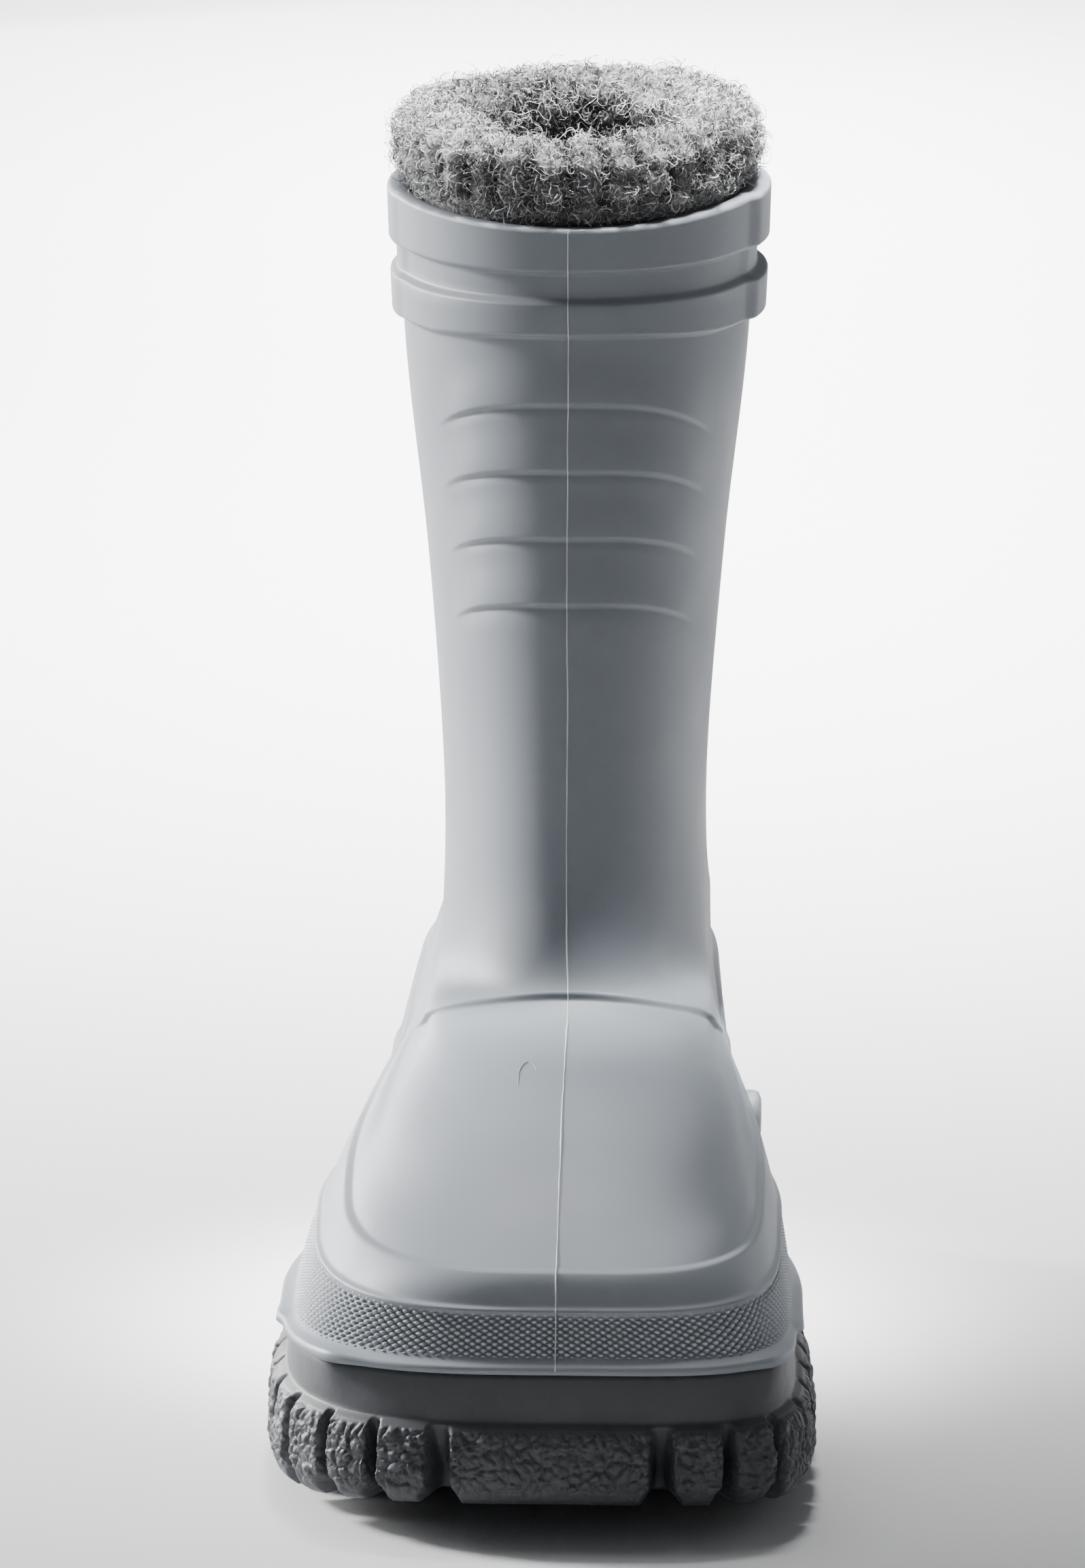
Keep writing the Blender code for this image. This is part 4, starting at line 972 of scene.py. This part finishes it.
# each fibre is an arc of a circle that leaves the wool at a slant, drawn as a thin ribbon
def buildFibres(name, s):
    rng = np.random.default_rng(s["seed"])
    count, steps = s["count"], s["steps"]
    share = np.linspace(0.0, 1.0, steps + 1)
    root, normal, depth = fibreRoots(rng, count)
    tangent = unit(np.cross(normal, rng.normal(size=root.shape)))
    lift = rng.uniform(*s["lift"], (count, 1))
    start = unit(normal * lift + tangent * np.sqrt(np.maximum(0.05, 1.0 - lift ** 2)))
    bend = unit(np.cross(start, rng.normal(size=root.shape)) - s["settle"] * normal)
    bend = unit(bend - start * np.sum(bend * start, -1, keepdims=True))
    length = rng.uniform(*s["length"], (count, 1, 1))
    curl = rng.uniform(*s["curl"], (count, 1, 1)) / length
    turn = curl * (length * share[None, :, None])
    path = root[:, None] - normal[:, None] * s["sunk"]
    path = path + start[:, None] * np.sin(turn) / curl + bend[:, None] * (1.0 - np.cos(turn)) / curl
    heading = start[:, None] * np.cos(turn) + bend[:, None] * np.sin(turn)
    across = unit(np.cross(heading, normal[:, None] + s["twist"] * rng.normal(size=(count, 1, 3))))
    taper = np.linspace(1.0, s["tip"], steps + 1)[None, :, None]
    half = 0.5 * rng.uniform(*s["width"], (count, 1, 1)) * taper
    points = np.stack([path - across * half, path + across * half], 2)
    isDark = rng.random(count) < s["darkShare"]
    dark, light = rng.uniform(*s["dark"], count), rng.uniform(*s["light"], count)
    # painted shade: fibres darker in the hollows, low in front and inside the opening, and darker towards
    # their roots
    tone = np.where(isDark, dark, light) * (0.2 + 0.8 * depth ** 0.75)
    tone = tone[:, None] * np.linspace(s["rootPaintedShade"], 1.0, steps + 1)[None, :]
    tones = np.repeat(tone[..., None], 2, 2)[..., None] * np.array(s["tint"])
    first = np.arange(count)[:, None] * (steps + 1) * 2 + np.arange(steps)[None, :] * 2
    quads = np.stack([first, first + 1, first + 3, first + 2], -1).reshape(-1, 4)
    piece = addPiece(name, points, [quads], woolFinished, tones, turn=False)
    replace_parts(piece, "liner")


pileLook = dict(sets=3, count=13000, steps=5, lift=(0.25, 1.0), settle=0.3, length=(2.2, 5.6),
                curl=(2.6, 6.5), width=(0.13, 0.24), tip=0.55, sunk=0.25, twist=0.7, darkShare=0.30,
                # each fibre darkened towards its root as painted shade
                dark=(0.04, 0.16), light=(0.78, 1.0), rootPaintedShade=0.72, tint=(0.985, 1.0, 1.0))
looseLook = dict(count=40, points=56, length=(10.0, 26.0), drift=(-0.12, 0.12), bend=(0.5, 1.3),
                 wave=(4.0, 11.0), inward=(2.0, 12.0), radius=0.05, tone=(0.85, 1.0), seed=77, tilt=0.3,
                 rows=(30, 44), backShare=0.7, backPart=(0.34, 0.66), frontPart=0.10, below=0.5)


# each loose fibre keeps turning by a slowly changing amount, in a plane that roughly faces the front
def buildLoose():
    s = looseLook
    rng = np.random.default_rng(s["seed"])
    count, points = s["count"], s["points"]
    share = np.linspace(0.0, 1.0, points)
    columns = roll.shape[1]
    back = rng.random(count) < s["backShare"]
    behind = rng.integers(*[int(part * columns) for part in s["backPart"]], count)
    ahead = rng.integers(-int(s["frontPart"] * columns), int(s["frontPart"] * columns), count)
    top = roll[..., 2].max(0).mean() - s["below"]
    anchor = roll[rng.integers(*s["rows"], count), np.where(back, behind, ahead) % columns]
    a = unit(np.array([1.0, 0.0, 0.0]) + s["tilt"] * rng.normal(size=(count, 3)))
    c = unit(np.cross(a, np.array([0.0, 0.0, 1.0]) + s["tilt"] * rng.normal(size=(count, 3))))
    b = np.cross(c, a)
    length = rng.uniform(*s["length"], (count, 1))
    along = length * share
    step = length / (points - 1)
    drift, bend = rng.uniform(*s["drift"], (count, 1)), rng.uniform(*s["bend"], (count, 1))
    wave = 2.0 * np.pi * along / rng.uniform(*s["wave"], (count, 1))
    turn = drift + bend * np.sin(wave + rng.uniform(0.0, 6.28, (count, 1)))
    angle = rng.uniform(0.0, np.pi, (count, 1)) + np.cumsum(turn * step, axis=1)
    heading = a[:, None] * np.cos(angle)[..., None] + b[:, None] * np.sin(angle)[..., None]
    path = anchor[:, None] + np.cumsum(heading * step[..., None], axis=1)
    path[..., 1] += np.where(back, -1.0, 1.0)[:, None] * share ** 0.5 * rng.uniform(*s["inward"], (count, 1))
    path[..., 2] = top - np.abs(top - path[..., 2])  # folded down into the opening
    side = np.cross(heading, c[:, None])
    corner = (np.arange(3) * 2.0 * np.pi / 3.0)[:, None]
    ring = c[:, None, None] * np.cos(corner) + side[:, :, None] * np.sin(corner)
    tube = path[:, :, None] + s["radius"] * ring
    first = np.arange(count)[:, None, None] * points * 3
    quads = (gridQuads(points, 3)[None] + first).reshape(-1, 4)
    last = points * 3
    ends = (np.array([(0, 2, 1), (last - 3, last - 2, last - 1)])[None] + first).reshape(-1, 3)
    tones = np.broadcast_to(rng.uniform(*s["tone"], (count, 1, 1)), (count, points, 3))
    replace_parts(addPiece("looseFibres", tube, [quads, ends], woolFinished, tones), "liner")


for k in range(pileLook["sets"]):
    buildFibres(f"woolPile{k + 1}", dict(pileLook, seed=100 + k))
buildLoose()
print("wool made")

# floor, lights and camera

stageShape = dict(half=14000.0, dark=(0.60, 0.60, 0.605), light=(0.64, 0.64, 0.64), cloudScale=3.0)


def buildStage():  # one wide flat sheet
    s = stageShape
    points = np.array([(-1, -1, 0), (1, -1, 0), (1, 1, 0), (-1, 1, 0)]) * s["half"]
    finish, tree, shader = newFinish("paleStage", Roughness=0.9)
    place = addNode(tree, "ShaderNodeTexCoord").outputs["Object"]
    clouds = noise(tree, place, s["cloudScale"], 2.0)
    tree.links.new(mixed(tree, clouds, s["dark"], s["light"]), shader.inputs["Base Color"])
    mesh = bpy.data.meshes.new("paleFloor")
    mesh.from_pydata((points * mm).tolist(), [], [(0, 1, 2, 3)])
    mesh.materials.append(finish)
    floor = bpy.data.objects.new("paleFloor", mesh)
    bpy.context.scene.collection.objects.link(floor)


lightSettings = {  # places and sizes in metres, power in watts, spread in degrees
    "keyLeft": dict(place=(-1.35, 1.0, 0.42), aim=(0.0, 0.0, 0.10), size=(1.4, 0.34), power=54.0),
    "rimLeft": dict(place=(-0.75, 1.45, 0.32), aim=(0.0, 0.0, 0.12), size=(1.5, 0.6), power=9.0),
    "vampSoft": dict(place=(-1.05, 0.30, 0.64), aim=(0.0, -0.07, 0.05), size=(0.25, 0.25), power=0.74,
                     spread=18.0),
    "topSoft": dict(place=(-0.30, 0.30, 1.45), aim=(0.0, 0.0, 0.10), size=(1.1, 0.8), power=8.5),
    "woolSoft": dict(place=(0.04, 0.05, 0.95), aim=(0.006, 0.043, 0.21), size=(0.07, 0.07), power=0.30,
                     spread=9.5),
    "rimRight": dict(place=(1.0, 0.80, 0.35), aim=(0.0, 0.0, 0.10), size=(0.6, 0.7), power=2.0),
    "floorWash": dict(place=(0.0, 1.05, 1.5), aim=(0.0, 1.05, 0.0), size=(0.25, 1.5), power=36.0,
                      spread=40.0),
}
for name, x, y, size in (("floorFront", 0.0, -2.7, (3.4, 3.2)), ("floorBack", 0.0, 3.4, (3.4, 3.2)),
                         ("floorLeft", -2.8, 0.2, (3.2, 3.4)), ("floorRight", 2.8, 0.2, (3.2, 3.4))):
    lightSettings[name] = dict(place=(x, y, 2.6), aim=(x, y, 0.0), size=size, power=95.0, spread=40.0)
worldLook = dict(colour=(0.80, 0.84, 0.90), strength=0.19)
cameraSettings = dict(place=(0.0593, -1.6990, 0.480), aim=(-0.00188, 0.0, 0.10831), focalPixels=14490.1,
                      imageHeight=2306, sensor=36.0)


def aimed(thing, s):  # stands at its place and looks at its aim
    thing.location = s["place"]
    thing.rotation_euler = (Vector(s["aim"]) - Vector(s["place"])).to_track_quat("-Z", "Y").to_euler()
    bpy.context.scene.collection.objects.link(thing)


def buildLights():  # soft rectangles that the camera doesn't see, and a dim even sky
    for name, s in lightSettings.items():
        light = bpy.data.lights.new(name, "AREA")
        light.shape = "RECTANGLE"
        light.size, light.size_y = s["size"]
        light.energy = s["power"]
        light.spread = math.radians(s.get("spread", 180.0))
        lamp = bpy.data.objects.new(name, light)
        lamp.visible_camera = False
        aimed(lamp, s)
    world = bpy.data.worlds.new("studio")
    world.use_nodes = True
    sky = world.node_tree.nodes["Background"]
    sky.inputs["Color"].default_value = (*worldLook["colour"], 1.0)
    sky.inputs["Strength"].default_value = worldLook["strength"]
    bpy.context.scene.world = world


def buildCamera():  # focal length in pixels of the whole image
    s = cameraSettings
    data = bpy.data.cameras.new("photoCamera")
    data.sensor_fit = "VERTICAL"
    data.sensor_height = s["sensor"]
    data.lens = s["focalPixels"] / s["imageHeight"] * s["sensor"]
    camera = bpy.data.objects.new("photoCamera", data)
    aimed(camera, s)
    bpy.context.scene.camera = camera


buildStage()
buildLights()
buildCamera()
print("stage, lights and camera set")
